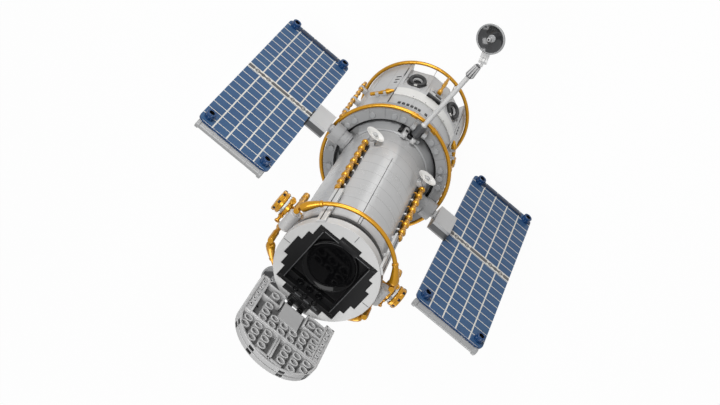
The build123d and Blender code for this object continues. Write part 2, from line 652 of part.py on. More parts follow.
with BuildPart() as clips:
    for side, sign in SIDES:
        middle = spoke_plane(90 - sign * HAND_RAIL_ANGLE, SHROUD_R - CLIP, HAND_RAIL_Z)
        with BuildSketch(middle):
            with GridLocations(1, HAND_RAIL_LENGTH / 2, 1, 2):
                Rectangle(CLIP, CLIP)
        extrude(amount=CLIP + HAND_RAIL_STAND)
        with BuildSketch(spoke_plane(90 - sign * 90, SHROUD_R - CLIP, SIDE_RAIL_Z + SIDE_RAIL_LENGTH / 2)):
            with GridLocations(SIDE_RAIL_LENGTH / 3, 1, 3, 1):
                Rectangle(CLIP, CLIP)
        extrude(amount=CLIP + SIDE_RAIL_STAND)
    Cylinder(SHROUD_R + SEAT_GAP, SHROUD_TOP, align=BASE, mode=Mode.SUBTRACT)
    for side, sign in SIDES:
        middle = spoke_plane(90 - sign * HAND_RAIL_ANGLE, SHROUD_R + HAND_RAIL_STAND, HAND_RAIL_Z)
        start = middle.from_local_coords((0, -HAND_RAIL_LENGTH / 2, 0))
        with BuildSketch(Plane(origin=start, x_dir=middle.x_dir, z_dir=middle.y_dir)):
            RegularPolygon(ROD_R + SEAT_GAP, ROD_SIDES)
        extrude(amount=HAND_RAIL_LENGTH, mode=Mode.SUBTRACT)
        with BuildSketch(Plane.XY.offset(SIDE_RAIL_Z)):
            with Locations((sign * (SHROUD_R + SIDE_RAIL_STAND), 0)):
                RegularPolygon(ROD_R + SEAT_GAP, ROD_SIDES)
        extrude(amount=SIDE_RAIL_LENGTH, mode=Mode.SUBTRACT)
save("hand_rail_clips", clips.part)

# Valve clusters: a stem, stacked round layers, a cross bar and two upright elbows
for side, sign in SIDES:
    with BuildPart() as cluster:
        stack = Plane(origin=(sign * TUBE_R, 0, CLUSTER_Z), x_dir=(0, 1, 0), z_dir=(sign, 0, 0))
        with BuildSketch(stack.offset(-CLUSTER_STEM_R)):
            RegularPolygon(CLUSTER_STEM_R, ROD_SIDES)
        extrude(amount=CLUSTER_STAND + CLUSTER_STEM_R)
        out = CLUSTER_STAND
        for radius, thick in CLUSTER_LAYERS:
            with BuildSketch(stack.offset(out)):
                RegularPolygon(radius, WHEEL_SIDES)
            extrude(amount=thick)
            out += thick
        with BuildSketch(stack.offset(out)):
            RegularPolygon(CLUSTER_WINDOW, ROD_SIDES)
        extrude(amount=-CLUSTER_LAYERS[-1][1], mode=Mode.SUBTRACT)
        elbow_x = sign * FRONT_HOSE_R * cos(radians(ELBOW_ANGLE))
        with BuildSketch(Plane(origin=(elbow_x, -elbow_y, CLUSTER_Z), x_dir=(1, 0, 0), z_dir=(0, 1, 0))):
            RegularPolygon(ROD_R, ROD_SIDES)
        extrude(amount=2 * elbow_y)
        with BuildSketch(Plane.XY.offset(CLUSTER_Z - ELBOW_R)):
            with Locations((elbow_x, elbow_y), (elbow_x, -elbow_y)):
                RegularPolygon(ELBOW_R, ROD_SIDES)
        extrude(amount=FRONT_HOSE_Z + FITTING_R - CLUSTER_Z + ELBOW_R)
        with BuildSketch(Plane.XY.offset(CLUSTER_Z - CLUSTER_STEM_R)):
            Circle(TUBE_R + SEAT_GAP)
        extrude(amount=2 * CLUSTER_STEM_R, mode=Mode.SUBTRACT)
    save(f"valve_cluster_{side}", cluster.part)

# Grey drums lying across the tube's sides under the collar
with BuildPart() as drums:
    for side, sign in SIDES:
        drum_x = sign * (TUBE_R + DRUM_R + SEAT_GAP)
        drum_end = (drum_x, -DRUM_LENGTH / 2, FRONT_Z - DRUM_DROP)
        with BuildSketch(Plane(origin=drum_end, x_dir=(1, 0, 0), z_dir=(0, 1, 0))):
            RegularPolygon(DRUM_R, WHEEL_SIDES)
        extrude(amount=DRUM_LENGTH)
save("collar_drums", drums.part)

# Rails along the tube: a row of gold beads, a white flat rail and a small white dish
RAIL_R = TUBE_R + RAIL_STAND
RAIL_END_Z = RAIL_START_Z + RAIL_PITCH * RAIL_BEADS
for side, sign in SIDES:
    angle = 90 - sign * RAIL_ANGLE
    rail_x = RAIL_R * cos(radians(angle))
    rail_y = RAIL_R * sin(radians(angle))
    with BuildPart() as rail:
        with BuildSketch(Plane.XY.offset(RAIL_START_Z)):
            with Locations((rail_x, rail_y)):
                RegularPolygon(ROD_R, ROD_SIDES)
        extrude(amount=RAIL_END_Z - RAIL_START_Z)
        for bead in range(RAIL_BEADS):
            with BuildSketch(Plane.XY.offset(RAIL_START_Z + (bead + 0.25) * RAIL_PITCH)):
                with Locations((rail_x, rail_y)):
                    RegularPolygon(RAIL_BEAD_R, ROD_SIDES)
            extrude(amount=RAIL_PITCH / 2)
        for foot_z in (RAIL_START_Z + RAIL_PITCH / 2, RAIL_END_Z - RAIL_PITCH / 2):
            with BuildSketch(spoke_plane(angle, TUBE_R - ROD_R, foot_z)):
                Rectangle(CLIP, CLIP)
            extrude(amount=RAIL_STAND + ROD_R)
        with BuildSketch(Plane.XY.offset(RAIL_START_Z)):
            Circle(TUBE_R)
        extrude(amount=RAIL_END_Z - RAIL_START_Z, mode=Mode.SUBTRACT)
    save(f"bead_rail_{side}", rail.part)

    flat_angle = 90 - sign * FLAT_RAIL_ANGLE
    flat_start = RAIL_END_Z + SWING_GAP
    with BuildPart() as flat_rail:
        with BuildSketch(spoke_plane(flat_angle, COLLAR_R + SEAT_GAP, (flat_start + FRONT_Z) / 2)):
            Rectangle(FRONT_Z - flat_start, FLAT_RAIL_WIDTH)
        extrude(amount=FLAT_RAIL_H)
        for foot_z in (flat_start + CLIP, TUBE_TOP - CLIP):
            with BuildSketch(spoke_plane(flat_angle, TUBE_R - ROD_R, foot_z)):
                Rectangle(CLIP, CLIP)
            extrude(amount=COLLAR_STEP + ROD_R + FLAT_RAIL_H)
        with BuildSketch(Plane.XY.offset(flat_start)):
            Circle(TUBE_R)
        extrude(amount=TUBE_TOP - flat_start, mode=Mode.SUBTRACT)
    save(f"flat_rail_{side}", flat_rail.part)

    dish_angle = radians(90 - sign * SMALL_DISH_ANGLE)
    with BuildPart() as small_dish:
        centre = (SMALL_DISH_REACH * cos(dish_angle), SMALL_DISH_REACH * sin(dish_angle), SMALL_DISH_Z)
        face = Plane(origin=centre, x_dir=(1, 0, 0), z_dir=(0, 1, 0))
        with BuildSketch(face.offset(-SMALL_DISH_H)):
            RegularPolygon(STUD_R, WHEEL_SIDES)
        with BuildSketch(face):
            RegularPolygon(SMALL_DISH_R, WHEEL_SIDES)
        loft(ruled=True)
        with BuildSketch(face):
            RegularPolygon(SMALL_DISH_R, WHEEL_SIDES)
        extrude(amount=SEAT_GAP)
        with BuildSketch(face.offset(-SMALL_DISH_H)):
            RegularPolygon(STUD_R, ROD_SIDES)
        extrude(amount=-SMALL_DISH_REACH)
        with BuildSketch(Plane.XY.offset(SMALL_DISH_Z - SMALL_DISH_R)):
            Circle(TUBE_R)
        extrude(amount=2 * SMALL_DISH_R, mode=Mode.SUBTRACT)
        with BuildSketch(Plane.XY.offset(SMALL_DISH_Z - SMALL_DISH_R)):
            with Locations((0, -TUBE_R)):
                Rectangle(4 * TUBE_R, 2 * TUBE_R)
        extrude(amount=2 * SMALL_DISH_R, mode=Mode.SUBTRACT)
    save(f"small_dish_{side}", small_dish.part)

# Array hubs: flanged drums lying on the equipment deck
for side, sign in SIDES:
    with BuildPart() as hub:
        lie = Plane(origin=(sign * HUB_START, 0, ARM_Z), x_dir=(0, 1, 0), z_dir=(sign, 0, 0))
        with BuildSketch(lie):
            RegularPolygon(HUB_NECK_R, WHEEL_SIDES)
        extrude(amount=HUB_END - HUB_START)
        with BuildSketch(lie.offset(HUB_END - HUB_START)):
            RegularPolygon(HUB_R, WHEEL_SIDES)
        extrude(amount=-DECK_WIDTH)
        with BuildSketch(lie):
            Circle(AXLE_R + RUN_GAP)
        extrude(amount=HUB_END - HUB_START, mode=Mode.SUBTRACT)
        with BuildSketch(Plane.XY.offset(ARM_Z - HUB_R)):
            with Locations((sign * (HUB_START + HUB_END) / 2, 0)):
                Rectangle(2 * HUB_END, 2 * HUB_R)
        extrude(amount=EQUIP_TOP - ARM_Z + HUB_R, mode=Mode.SUBTRACT)
        with BuildSketch(Plane.XY.offset(EQUIP_TOP)):
            Circle(TUBE_R + SEAT_GAP)
        extrude(amount=2 * HUB_R, mode=Mode.SUBTRACT)
    save(f"array_hub_{side}", hub.part)

# Solar arrays, each turning on its arm
for side, sign in SIDES:
    box_x = sign * (BOX_START + BOX_X / 2)
    panel_x = sign * (PANEL_START + PANEL_WIDTH / 2)
    with BuildPart() as yoke:
        arm = Plane(origin=(sign * (TUBE_R + DECK_GAP), 0, ARM_Z), x_dir=(0, 1, 0), z_dir=(sign, 0, 0))
        with BuildSketch(arm):
            Circle(AXLE_R)
        extrude(amount=BOX_START - TUBE_R - DECK_GAP)
        with BuildSketch(arm.offset(HUB_END - TUBE_R - DECK_GAP + SEAT_GAP)):
            RegularPolygon(AXLE_COLLAR_R, ROD_SIDES)
        extrude(amount=PLATE)
        with BuildSketch(array_plane(box_x, -BOX_Y / 2)):
            Rectangle(BOX_X, BOX_Z)
        extrude(amount=BOX_Y)
        with BuildSketch(array_plane(box_x, BOX_Y / 2)):
            with Locations((0, -CHEEK_Z / 2)):
                Rectangle(BOX_X, BOX_Z + CHEEK_Z)
        extrude(amount=-TILE_H)
    save(f"array_{side}_yoke", yoke.part)

    with BuildPart() as cheek:
        with BuildSketch(array_plane(box_x, -BOX_Y / 2)):
            with Locations((0, -BOX_Z / 2 - CHEEK_Z / 2)):
                Rectangle(BOX_X, CHEEK_Z)
        extrude(amount=BOX_Y - TILE_H)
        front_edges = cheek.edges().filter_by(Axis.X).sort_by(Axis.Z)[-2:]
        chamfer(front_edges.sort_by(Axis.Y)[0], CHEEK_CHAMFER)
    save(f"array_{side}_cheek", cheek.part)

    with BuildPart() as panel:
        with BuildSketch(array_plane(panel_x, -PANEL_DROP)):
            RectangleRounded(PANEL_WIDTH, PANEL_LENGTH, PANEL_CORNER)
        extrude(amount=PANEL_H)
    save(f"array_{side}_panel", panel.part)

    with BuildPart() as bar:
        with BuildSketch(array_plane(panel_x, PANEL_H - PANEL_DROP)):
            Rectangle(PANEL_WIDTH, BAR_WIDTH)
        extrude(amount=BAR_H)
    save(f"array_{side}_bar", bar.part)

    with BuildPart() as posts:
        post_x = PANEL_WIDTH - 2 * POST_INSET
        post_y = PANEL_LENGTH - 2 * POST_INSET
        with BuildSketch(array_plane(panel_x, PANEL_H - PANEL_DROP)):
            with GridLocations(post_x, post_y, 2, 2):
                RegularPolygon(POST_R, ROD_SIDES)
                RegularPolygon(POST_HOLE_R, ROD_SIDES, mode=Mode.SUBTRACT)
        extrude(amount=POST_H)
        with BuildSketch(array_plane(panel_x, PANEL_H - PANEL_DROP)):
            with Locations((0, post_y / 2)):
                Rectangle(post_x - 2 * POST_R - 2 * SWING_GAP, STRIP_WIDTH)
        extrude(amount=STRIP_H)
    save(f"array_{side}_posts", posts.part)

    with BuildPart() as rollers:
        along = array_plane(panel_x, -PANEL_DROP - ROLLER_DROP)
        start = along.from_local_coords((-ROLLER_LENGTH / 2, -PANEL_LENGTH / 2, 0))
        rod = Plane(origin=start, x_dir=along.y_dir, z_dir=(1, 0, 0))
        with BuildSketch(rod):
            RegularPolygon(ROLLER_R, ROD_SIDES)
        extrude(amount=ROLLER_LENGTH)
        for knob in (0, ROLLER_LENGTH - ROLLER_KNOB):
            with BuildSketch(rod.offset(knob)):
                RegularPolygon(ROLLER_KNOB_R, ROD_SIDES)
            extrude(amount=ROLLER_KNOB)
        with BuildSketch(along):
            with Locations((0, CLIP / 2 - PANEL_LENGTH / 2)):
                with GridLocations(ROLLER_LENGTH / 2, 1, 2, 1):
                    Rectangle(CLIP, CLIP)
        extrude(amount=ROLLER_DROP)
    save(f"array_{side}_rollers", rollers.part)

# Antenna booms: foot with lugs, knuckle and socket, pole with a cone, tilting dish
for end, sign in ENDS:
    with BuildPart() as foot:
        inner = KNUCKLE_WIDTH / 2 + RUN_GAP
        outer = inner + LUG_WIDTH
        for lug_x in (-outer, inner):
            with BuildSketch(Plane.YZ.offset(lug_x)):
                with Locations((sign * BOOM_Y, BOOM_Z)):
                    RegularPolygon(KNUCKLE_R, ROD_SIDES)
                with Locations((sign * BOOM_Y, (BOOM_Z + EQUIP_TOP) / 2)):
                    Rectangle(2 * KNUCKLE_R, BOOM_Z - EQUIP_TOP)
            extrude(amount=LUG_WIDTH)
        with BuildSketch(Plane.YZ.offset(-inner)):
            with Locations((sign * BOOM_Y, BOOM_Z)):
                Circle(PIN_R)
        extrude(amount=2 * inner)
    save(f"boom_foot_{end}", foot.part)

    with BuildPart() as socket:
        heel = Plane(origin=(0, sign * (BOOM_Y - SOCKET_BACK), BOOM_Z), x_dir=(1, 0, 0), z_dir=(0, sign, 0))
        with BuildSketch(heel):
            RegularPolygon(SOCKET_R, ROD_SIDES, rotation=180 / ROD_SIDES)
        with BuildSketch(heel.offset(SOCKET_FRONT + SOCKET_BACK)):
            RegularPolygon(SOCKET_TIP_R, ROD_SIDES, rotation=180 / ROD_SIDES)
        loft(ruled=True)
        with BuildSketch(Plane.YZ.offset(-KNUCKLE_WIDTH / 2)):
            with Locations((sign * BOOM_Y, BOOM_Z)):
                Circle(PIN_R + RUN_GAP)
        extrude(amount=KNUCKLE_WIDTH, mode=Mode.SUBTRACT)
    save(f"boom_{end}_socket", socket.part)

    with BuildPart() as pole:
        base = Plane(origin=(0, sign * SOCKET_END, BOOM_Z), x_dir=(1, 0, 0), z_dir=(0, sign, 0))
        with BuildSketch(base):
            RegularPolygon(POLE_R, ROD_SIDES)
        extrude(amount=POLE_LENGTH - CONE_LENGTH)
        with BuildSketch(base.offset(POLE_LENGTH - CONE_LENGTH)):
            RegularPolygon(CONE_R, ROD_SIDES)
        with BuildSketch(base.offset(POLE_LENGTH)):
            RegularPolygon(POLE_R, ROD_SIDES)
        loft(ruled=True)
        with BuildSketch(tilt_plane(sign).offset(-TILT_LUG / 2)):
            RegularPolygon(KNUCKLE_R, ROD_SIDES)
            with Locations((-TILT_STAND / 2, 0)):
                Rectangle(TILT_STAND, 2 * PIN_R)
        extrude(amount=TILT_LUG)
        with BuildSketch(tilt_plane(sign).offset(-TILT_WIDTH / 2)):
            Circle(PIN_R)
        extrude(amount=TILT_WIDTH)
    save(f"boom_{end}_pole", pole.part)

    with BuildPart() as joint:
        with BuildSketch(tilt_plane(sign).offset(-TILT_WIDTH / 2)):
            RegularPolygon(TILT_R, ROD_SIDES)
            with Locations((DISH_NECK / 2, 0)):
                Rectangle(DISH_NECK - 2 * SEAT_GAP, 2 * PIN_R)
        extrude(amount=TILT_WIDTH)
        with BuildSketch(tilt_plane(sign).offset(-TILT_LUG / 2 - RUN_GAP)):
            RegularPolygon(TILT_R + SWING_GAP, WHEEL_SIDES)
        extrude(amount=TILT_LUG + 2 * RUN_GAP, mode=Mode.SUBTRACT)
        with BuildSketch(tilt_plane(sign).offset(-TILT_WIDTH / 2)):
            Circle(PIN_R + RUN_GAP)
        extrude(amount=TILT_WIDTH, mode=Mode.SUBTRACT)
    save(f"dish_{end}_joint", joint.part)

    neck = tilt_plane(sign, DISH_NECK + DISH_R)
    lean = radians(DISH_LEAN)
    facing = neck.y_dir * cos(lean) - neck.z_dir * sign * sin(lean)
    bowl = Plane(origin=neck.origin, x_dir=neck.x_dir, z_dir=facing)
    back = bowl.offset(-PIN_R)
    with BuildPart() as reflector:
        with BuildSketch(back):
            RegularPolygon(DISH_BACK_R, WHEEL_SIDES)
        with BuildSketch(back.offset(DISH_DEPTH)):
            RegularPolygon(DISH_R, WHEEL_SIDES)
        loft(ruled=True)
        with BuildSketch(back.offset(DISH_DEPTH)):
            RegularPolygon(DISH_R, WHEEL_SIDES)
        extrude(amount=DISH_WALL)
        with BuildSketch(back.offset(DISH_WALL)):
            RegularPolygon(DISH_FLOOR_R, WHEEL_SIDES)
        with BuildSketch(back.offset(DISH_DEPTH + DISH_WALL)):
            RegularPolygon(DISH_R - DISH_RIM, WHEEL_SIDES)
        loft(ruled=True, mode=Mode.SUBTRACT)
    save(f"dish_{end}_reflector", reflector.part)

    with BuildPart() as feed:
        with BuildSketch(back.offset(DISH_WALL)):
            RegularPolygon(FEED_R, ROD_SIDES)
        extrude(amount=FEED_H)
    save(f"dish_{end}_feed", feed.part)
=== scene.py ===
"""Looks of the brick-built space telescope model: finishes, small pieces, light and camera."""
import logging
from collections.abc import Callable, Sequence
from dataclasses import dataclass, field
from enum import Enum
from math import atan2, cos, pi, radians, sin, sqrt
from typing import Protocol

import bmesh
import bpy
from mathutils import Matrix, Vector


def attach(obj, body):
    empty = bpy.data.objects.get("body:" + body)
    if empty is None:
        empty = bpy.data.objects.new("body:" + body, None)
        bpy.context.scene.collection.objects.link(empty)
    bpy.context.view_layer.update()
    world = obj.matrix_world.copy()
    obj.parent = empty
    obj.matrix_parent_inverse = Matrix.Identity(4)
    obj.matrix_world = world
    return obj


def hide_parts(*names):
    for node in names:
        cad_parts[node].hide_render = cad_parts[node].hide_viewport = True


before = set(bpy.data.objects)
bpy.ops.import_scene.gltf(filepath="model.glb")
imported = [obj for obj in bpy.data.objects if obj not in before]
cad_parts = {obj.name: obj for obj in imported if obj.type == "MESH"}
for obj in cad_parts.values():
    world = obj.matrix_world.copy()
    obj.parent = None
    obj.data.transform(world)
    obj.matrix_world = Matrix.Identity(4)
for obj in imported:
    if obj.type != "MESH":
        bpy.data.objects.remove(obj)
LOG = logging.getLogger("telescope")
MM = 0.001
BODY = "telescope"
Point = tuple[float, float, float]
Profile = Sequence[tuple[float, float]]
PegSize = tuple[float, float, float, float]
UP: Point = (0.0, 0.0, 1.0)
RIGHT: Point = (1.0, 0.0, 0.0)
CENTRE = Matrix.Identity(4)
FULL_TURN = 360.0
SHARP_EDGE = 35.0
HOSE_RADIUS = 1.6
HOSE_SIDES = 16
RING_STEPS = 120


class Slot(str, Enum):
    """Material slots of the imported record."""
    LIGHT = "light_grey"
    DARK = "dark_grey"
    BLACK = "black"
    GLOSS = "black_gloss"
    GOLD = "gold"
    WHITE = "white"
    CELL = "cell_blue"
    NAVY = "dark_blue"


class Side(Enum):
    """The two sides of the model along X."""
    LEFT = -1
    RIGHT = 1

    @property
    def word(self) -> str:
        """Name of the side as the CAD nodes spell it."""
        return self.name.lower()


class End(Enum):
    """The two antenna booms along Y."""
    TOP = 1
    BOTTOM = -1

    @property
    def word(self) -> str:
        """Name of the boom as the CAD nodes spell it."""
        return self.name.lower()


class Bench:
    """Adds and joins the nodes of one shader tree."""

    def __init__(self, tree: bpy.types.NodeTree) -> None:
        """Keep the tree that the nodes go into."""
        self.tree = tree

    def add(self, kind: str, inputs: dict | None = None, **settings: object) -> bpy.types.Node:
        """Add one node.

        Args:
            kind: Blender's type name of the node.
            inputs: values or sockets for its inputs, by name or index.
            settings: attributes of the node itself.

        Returns:
            The new node.
        """
        node = self.tree.nodes.new(kind)
        for key, value in settings.items():
            setattr(node, key, value)
        for key, value in (inputs or {}).items():
            self.feed(node.inputs[key], value)
        return node

    def feed(self, socket: bpy.types.NodeSocket, value: object) -> None:
        """Link a socket to another one, or set its plain value.

        Args:
            socket: input that is fed.
            value: another socket, or the plain value.
        """
        if isinstance(value, bpy.types.NodeSocket):
            self.tree.links.new(value, socket)
        else:
            socket.default_value = value

    def math(self, operation: str, *values: object) -> bpy.types.NodeSocket:
        """Add a math node.

        Args:
            operation: name of the operation.
            values: numbers or sockets for its inputs, in order.

        Returns:
            The node's result.
        """
        return self.add("ShaderNodeMath", dict(enumerate(values)), operation=operation).outputs[0]

    def ramp(self, value: object, low: float, high: float, start: float = 0.0,
             end: float = 1.0) -> bpy.types.NodeSocket:
        """Map a value from one range to another, held at the ends.

        Args:
            value: number or socket.
            low: start of the value's range.
            high: end of the value's range.
            start: result at low.
            end: result at high.

        Returns:
            The mapped value.
        """
        return self.add("ShaderNodeMapRange", {0: value, 1: low, 2: high, 3: start, 4: end}).outputs[0]

    def mix(self, share: object, first: object, second: object) -> bpy.types.NodeSocket:
        """Mix two colours.

        Args:
            share: part of the second colour.
            first: colour or socket.
            second: colour or socket.

        Returns:
            The mixed colour.
        """
        node = self.add("ShaderNodeMix", data_type="RGBA")
        for index, value in ((0, share), (6, first), (7, second)):
            self.feed(node.inputs[index], value)
        return node.outputs[2]

    def repeat(self, value: object, pitch: object) -> bpy.types.NodeSocket:
        """Distance of a coordinate from the nearest whole multiple of a pitch.

        Args:
            value: the coordinate.
            pitch: number or socket.

        Returns:
            The distance.
        """
        part = self.math("FRACT", self.math("ADD", self.math("DIVIDE", value, pitch), 0.5))
        return self.math("MULTIPLY", self.math("ABSOLUTE", self.math("SUBTRACT", part, 0.5)), pitch)


GroupParts = tuple[bpy.types.NodeTree, Bench, bpy.types.Node, bpy.types.Node]


def group_tree(name: str, inputs: Sequence[tuple[str, str, object]],
               outputs: Sequence[tuple[str, str]]) -> GroupParts:
    """Start a shader node group with named sockets.

    Args:
        name: name of the group.
        inputs: name, kind and default value of each input.
        outputs: name and kind of each output.

    Returns:
        The group, a bench for it, and its input and output nodes.
    """
    tree = bpy.data.node_groups.new(name, "ShaderNodeTree")
    for title, kind, value in inputs:
        socket = tree.interface.new_socket(title, in_out="INPUT", socket_type=kind)
        socket.default_value = value
    for title, kind in outputs:
        tree.interface.new_socket(title, in_out="OUTPUT", socket_type=kind)
    bench = Bench(tree)
    return tree, bench, bench.add("NodeGroupInput"), bench.add("NodeGroupOutput")


COLOUR, VALUE, VECTOR = "NodeSocketColor", "NodeSocketFloat", "NodeSocketVector"
SHEET_MAP = "sheet"
FLOW_SCALE, GRAIN_SCALE, CLOUD_SCALE, HAZE_SCALE = 45.0, 1500.0, 0.035, 300.0
GRAIN_DEPTH, SEAM_DEPTH = 0.0002, 0.0003
COLUMN_LINE, ROW_LINE, STRIPE_LINE = 1.15, 0.8, 0.36
COLUMN_LIMIT = 29.0
LIT_CELL, CELL_STRIPE, SEAM_SHADE = (0.085, 0.185, 0.325, 1), (0.02, 0.04, 0.09, 1), (0.02, 0.02, 0.02, 1)
BLACK, WHITE = (0.0, 0.0, 0.0, 1), (1, 1, 1, 1)


def moulded_skin() -> bpy.types.NodeTree:
    """Skin of moulded plastic: faint flow marks, uneven gloss, rounded edges, and a painted highlight that
    makes the edges slightly paler.

    Returns:
        The node group.
    """
    tree, bench, given, made = group_tree(
        "moulded_skin",
        [("Tint", COLOUR, (0.5, 0.5, 0.5, 1)), ("Flow", VALUE, 0.06), ("Gloss", VALUE, 0.3),
         ("Gloss Spread", VALUE, 0.06), ("Edge", VALUE, 0.1), ("Round", VALUE, 0.0003),
         ("Grain", VALUE, 0.06)],
        [("Color", COLOUR), ("Roughness", VALUE), ("Normal", VECTOR)])
    place = bench.add("ShaderNodeTexCoord").outputs["Object"]
    marks = {"Vector": place, "Scale": FLOW_SCALE, "Detail": 4.0, "Distortion": 0.6}
    flow = bench.add("ShaderNodeTexNoise", marks).outputs[0]
    grain = bench.add("ShaderNodeTexNoise", {"Vector": place, "Scale": GRAIN_SCALE, "Detail": 2.0}).outputs[0]
    rounded = bench.add("ShaderNodeBevel", {"Radius": given.outputs["Round"]}, samples=6).outputs[0]
    flat = bench.add("ShaderNodeNewGeometry").outputs["Normal"]
    dot = bench.add("ShaderNodeVectorMath", {0: rounded, 1: flat}, operation="DOT_PRODUCT")
    facing = dot.outputs["Value"]
    # Paler edges: painted highlight, the colour mixed toward white where the rounded normal turns from the
    # flat one.
    edge = bench.math("MULTIPLY", bench.ramp(facing, 1.0, 0.8), given.outputs["Edge"])
    dull = bench.math("MULTIPLY", bench.ramp(flow, 0.35, 0.7), given.outputs["Flow"])
    base = bench.mix(dull, given.outputs["Tint"], BLACK)
    bench.feed(made.inputs["Color"], bench.mix(edge, base, WHITE))
    sway = bench.math("MULTIPLY", bench.math("SUBTRACT", flow, 0.5), given.outputs["Gloss Spread"])
    speck = bench.math("MULTIPLY", bench.math("SUBTRACT", grain, 0.5), given.outputs["Grain"])
    swayed = bench.math("ADD", given.outputs["Gloss"], sway)
    bench.feed(made.inputs["Roughness"], bench.math("ADD", swayed, speck))
    relief = {"Strength": given.outputs["Grain"], "Distance": GRAIN_DEPTH, "Height": grain, "Normal": rounded}
    bench.feed(made.inputs["Normal"], bench.add("ShaderNodeBump", relief).outputs[0])
    return tree


def tile_seams() -> bpy.types.NodeTree:
    """Thin seams of curved tiles laid round the Z axis.

    Returns:
        The node group.
    """
    tree, bench, given, made = group_tree(
        "tile_seams",
        [("Ring Pitch", VALUE, 0.032), ("Ring Shift", VALUE, 0.0), ("Spokes", VALUE, 12.0),
         ("Turn", VALUE, 0.0), ("Radius", VALUE, 0.035), ("Width", VALUE, 0.00035)],
        [("Seam", VALUE)])
    place = bench.add("ShaderNodeSeparateXYZ", {0: bench.add("ShaderNodeTexCoord").outputs["Object"]})
    height = bench.math("SUBTRACT", place.outputs[2], given.outputs["Ring Shift"])
    turn = bench.math("ADD", bench.math("ARCTAN2", place.outputs[1], place.outputs[0]), given.outputs["Turn"])
    step = bench.math("DIVIDE", 2 * pi, given.outputs["Spokes"])
    masks = []
    rings, spokes = (height, given.outputs["Ring Pitch"], 1.0), (turn, step, given.outputs["Radius"])
    for value, pitch, scale in (rings, spokes):
        reach = bench.math("MULTIPLY", bench.repeat(value, pitch), scale)
        masks.append(bench.ramp(bench.math("DIVIDE", reach, given.outputs["Width"]), 0.35, 0.7, 1.0, 0.0))
    bench.feed(made.inputs["Seam"], bench.math("MAXIMUM", *masks))
    return tree


def cell_print() -> bpy.types.NodeTree:
    """Printed cell sheet: striped blue cells between cream lines, laid out in millimetres of the UV map.

    Returns:
        The node group.
    """
    tree, bench, given, made = group_tree(
        "cell_print",
        [("Cell", COLOUR, (0.1, 0.2, 0.4, 1)), ("Line", COLOUR, (0.8, 0.77, 0.7, 1)), ("Column", VALUE, 12.8),
         ("Row", VALUE, 9.25), ("Middle", VALUE, 3.5), ("Stripe", VALUE, 0.92)],
        [("Color", COLOUR), ("Print", VALUE)])
    layout = bench.add("ShaderNodeUVMap", uv_map=SHEET_MAP).outputs[0]
    place = bench.add("ShaderNodeSeparateXYZ", {0: layout})
    across = bench.math("ADD", place.outputs[0], bench.math("MULTIPLY", given.outputs["Column"], 0.5))
    along = bench.math("SUBTRACT", bench.math("ABSOLUTE", place.outputs[1]), given.outputs["Middle"])

    def lines(value: object, pitch: object, width: float) -> bpy.types.NodeSocket:
        """Mask of lines at a pitch that comes from the group's input."""
        return bench.ramp(bench.repeat(value, pitch), width * 0.4, width * 0.6, 1.0, 0.0)

    inside = bench.ramp(bench.math("ABSOLUTE", place.outputs[0]), COLUMN_LIMIT, COLUMN_LIMIT + 0.2, 1.0, 0.0)
    thick = bench.math("MULTIPLY", lines(across, given.outputs["Column"], COLUMN_LINE), inside)
    thin = lines(along, given.outputs["Row"], ROW_LINE)
    stripe = bench.math("MULTIPLY", lines(along, given.outputs["Stripe"], STRIPE_LINE), 0.3)
    cloud = bench.add("ShaderNodeTexNoise", {"Vector": layout, "Scale": CLOUD_SCALE, "Detail": 3.0})
    tone = bench.mix(bench.ramp(cloud.outputs[0], 0.3, 0.7, 0.0, 0.35), given.outputs["Cell"], LIT_CELL)
    striped = bench.mix(stripe, tone, CELL_STRIPE)
    lined = bench.math("MAXIMUM", thick, thin)
    bench.feed(made.inputs["Color"], bench.mix(lined, striped, given.outputs["Line"]))
    bench.feed(made.inputs["Print"], lined)
    return tree


@dataclass(frozen=True)
class Groups:
    """The shared shader effects."""
    skin: bpy.types.NodeTree = field(default_factory=moulded_skin)
    seams: bpy.types.NodeTree = field(default_factory=tile_seams)
    cells: bpy.types.NodeTree = field(default_factory=cell_print)


GROUPS = Groups()


def blank(name: str) -> tuple[bpy.types.Material, Bench, bpy.types.Node]:
    """Start a node material.

    Args:
        name: name of the material.

    Returns:
        The material, a bench for its tree and its Principled shader.
    """
    material = bpy.data.materials.new(name)
    material.use_nodes = True
    return material, Bench(material.node_tree), material.node_tree.nodes["Principled BSDF"]


@dataclass(frozen=True)
class SeamPlan:
    """Layout of tile seams on a round body, in millimetres and degrees."""
    pitch: float
    shift: float
    spokes: int
    turn: float
    radius: float
    width: float = 0.3
    depth: float = 0.55


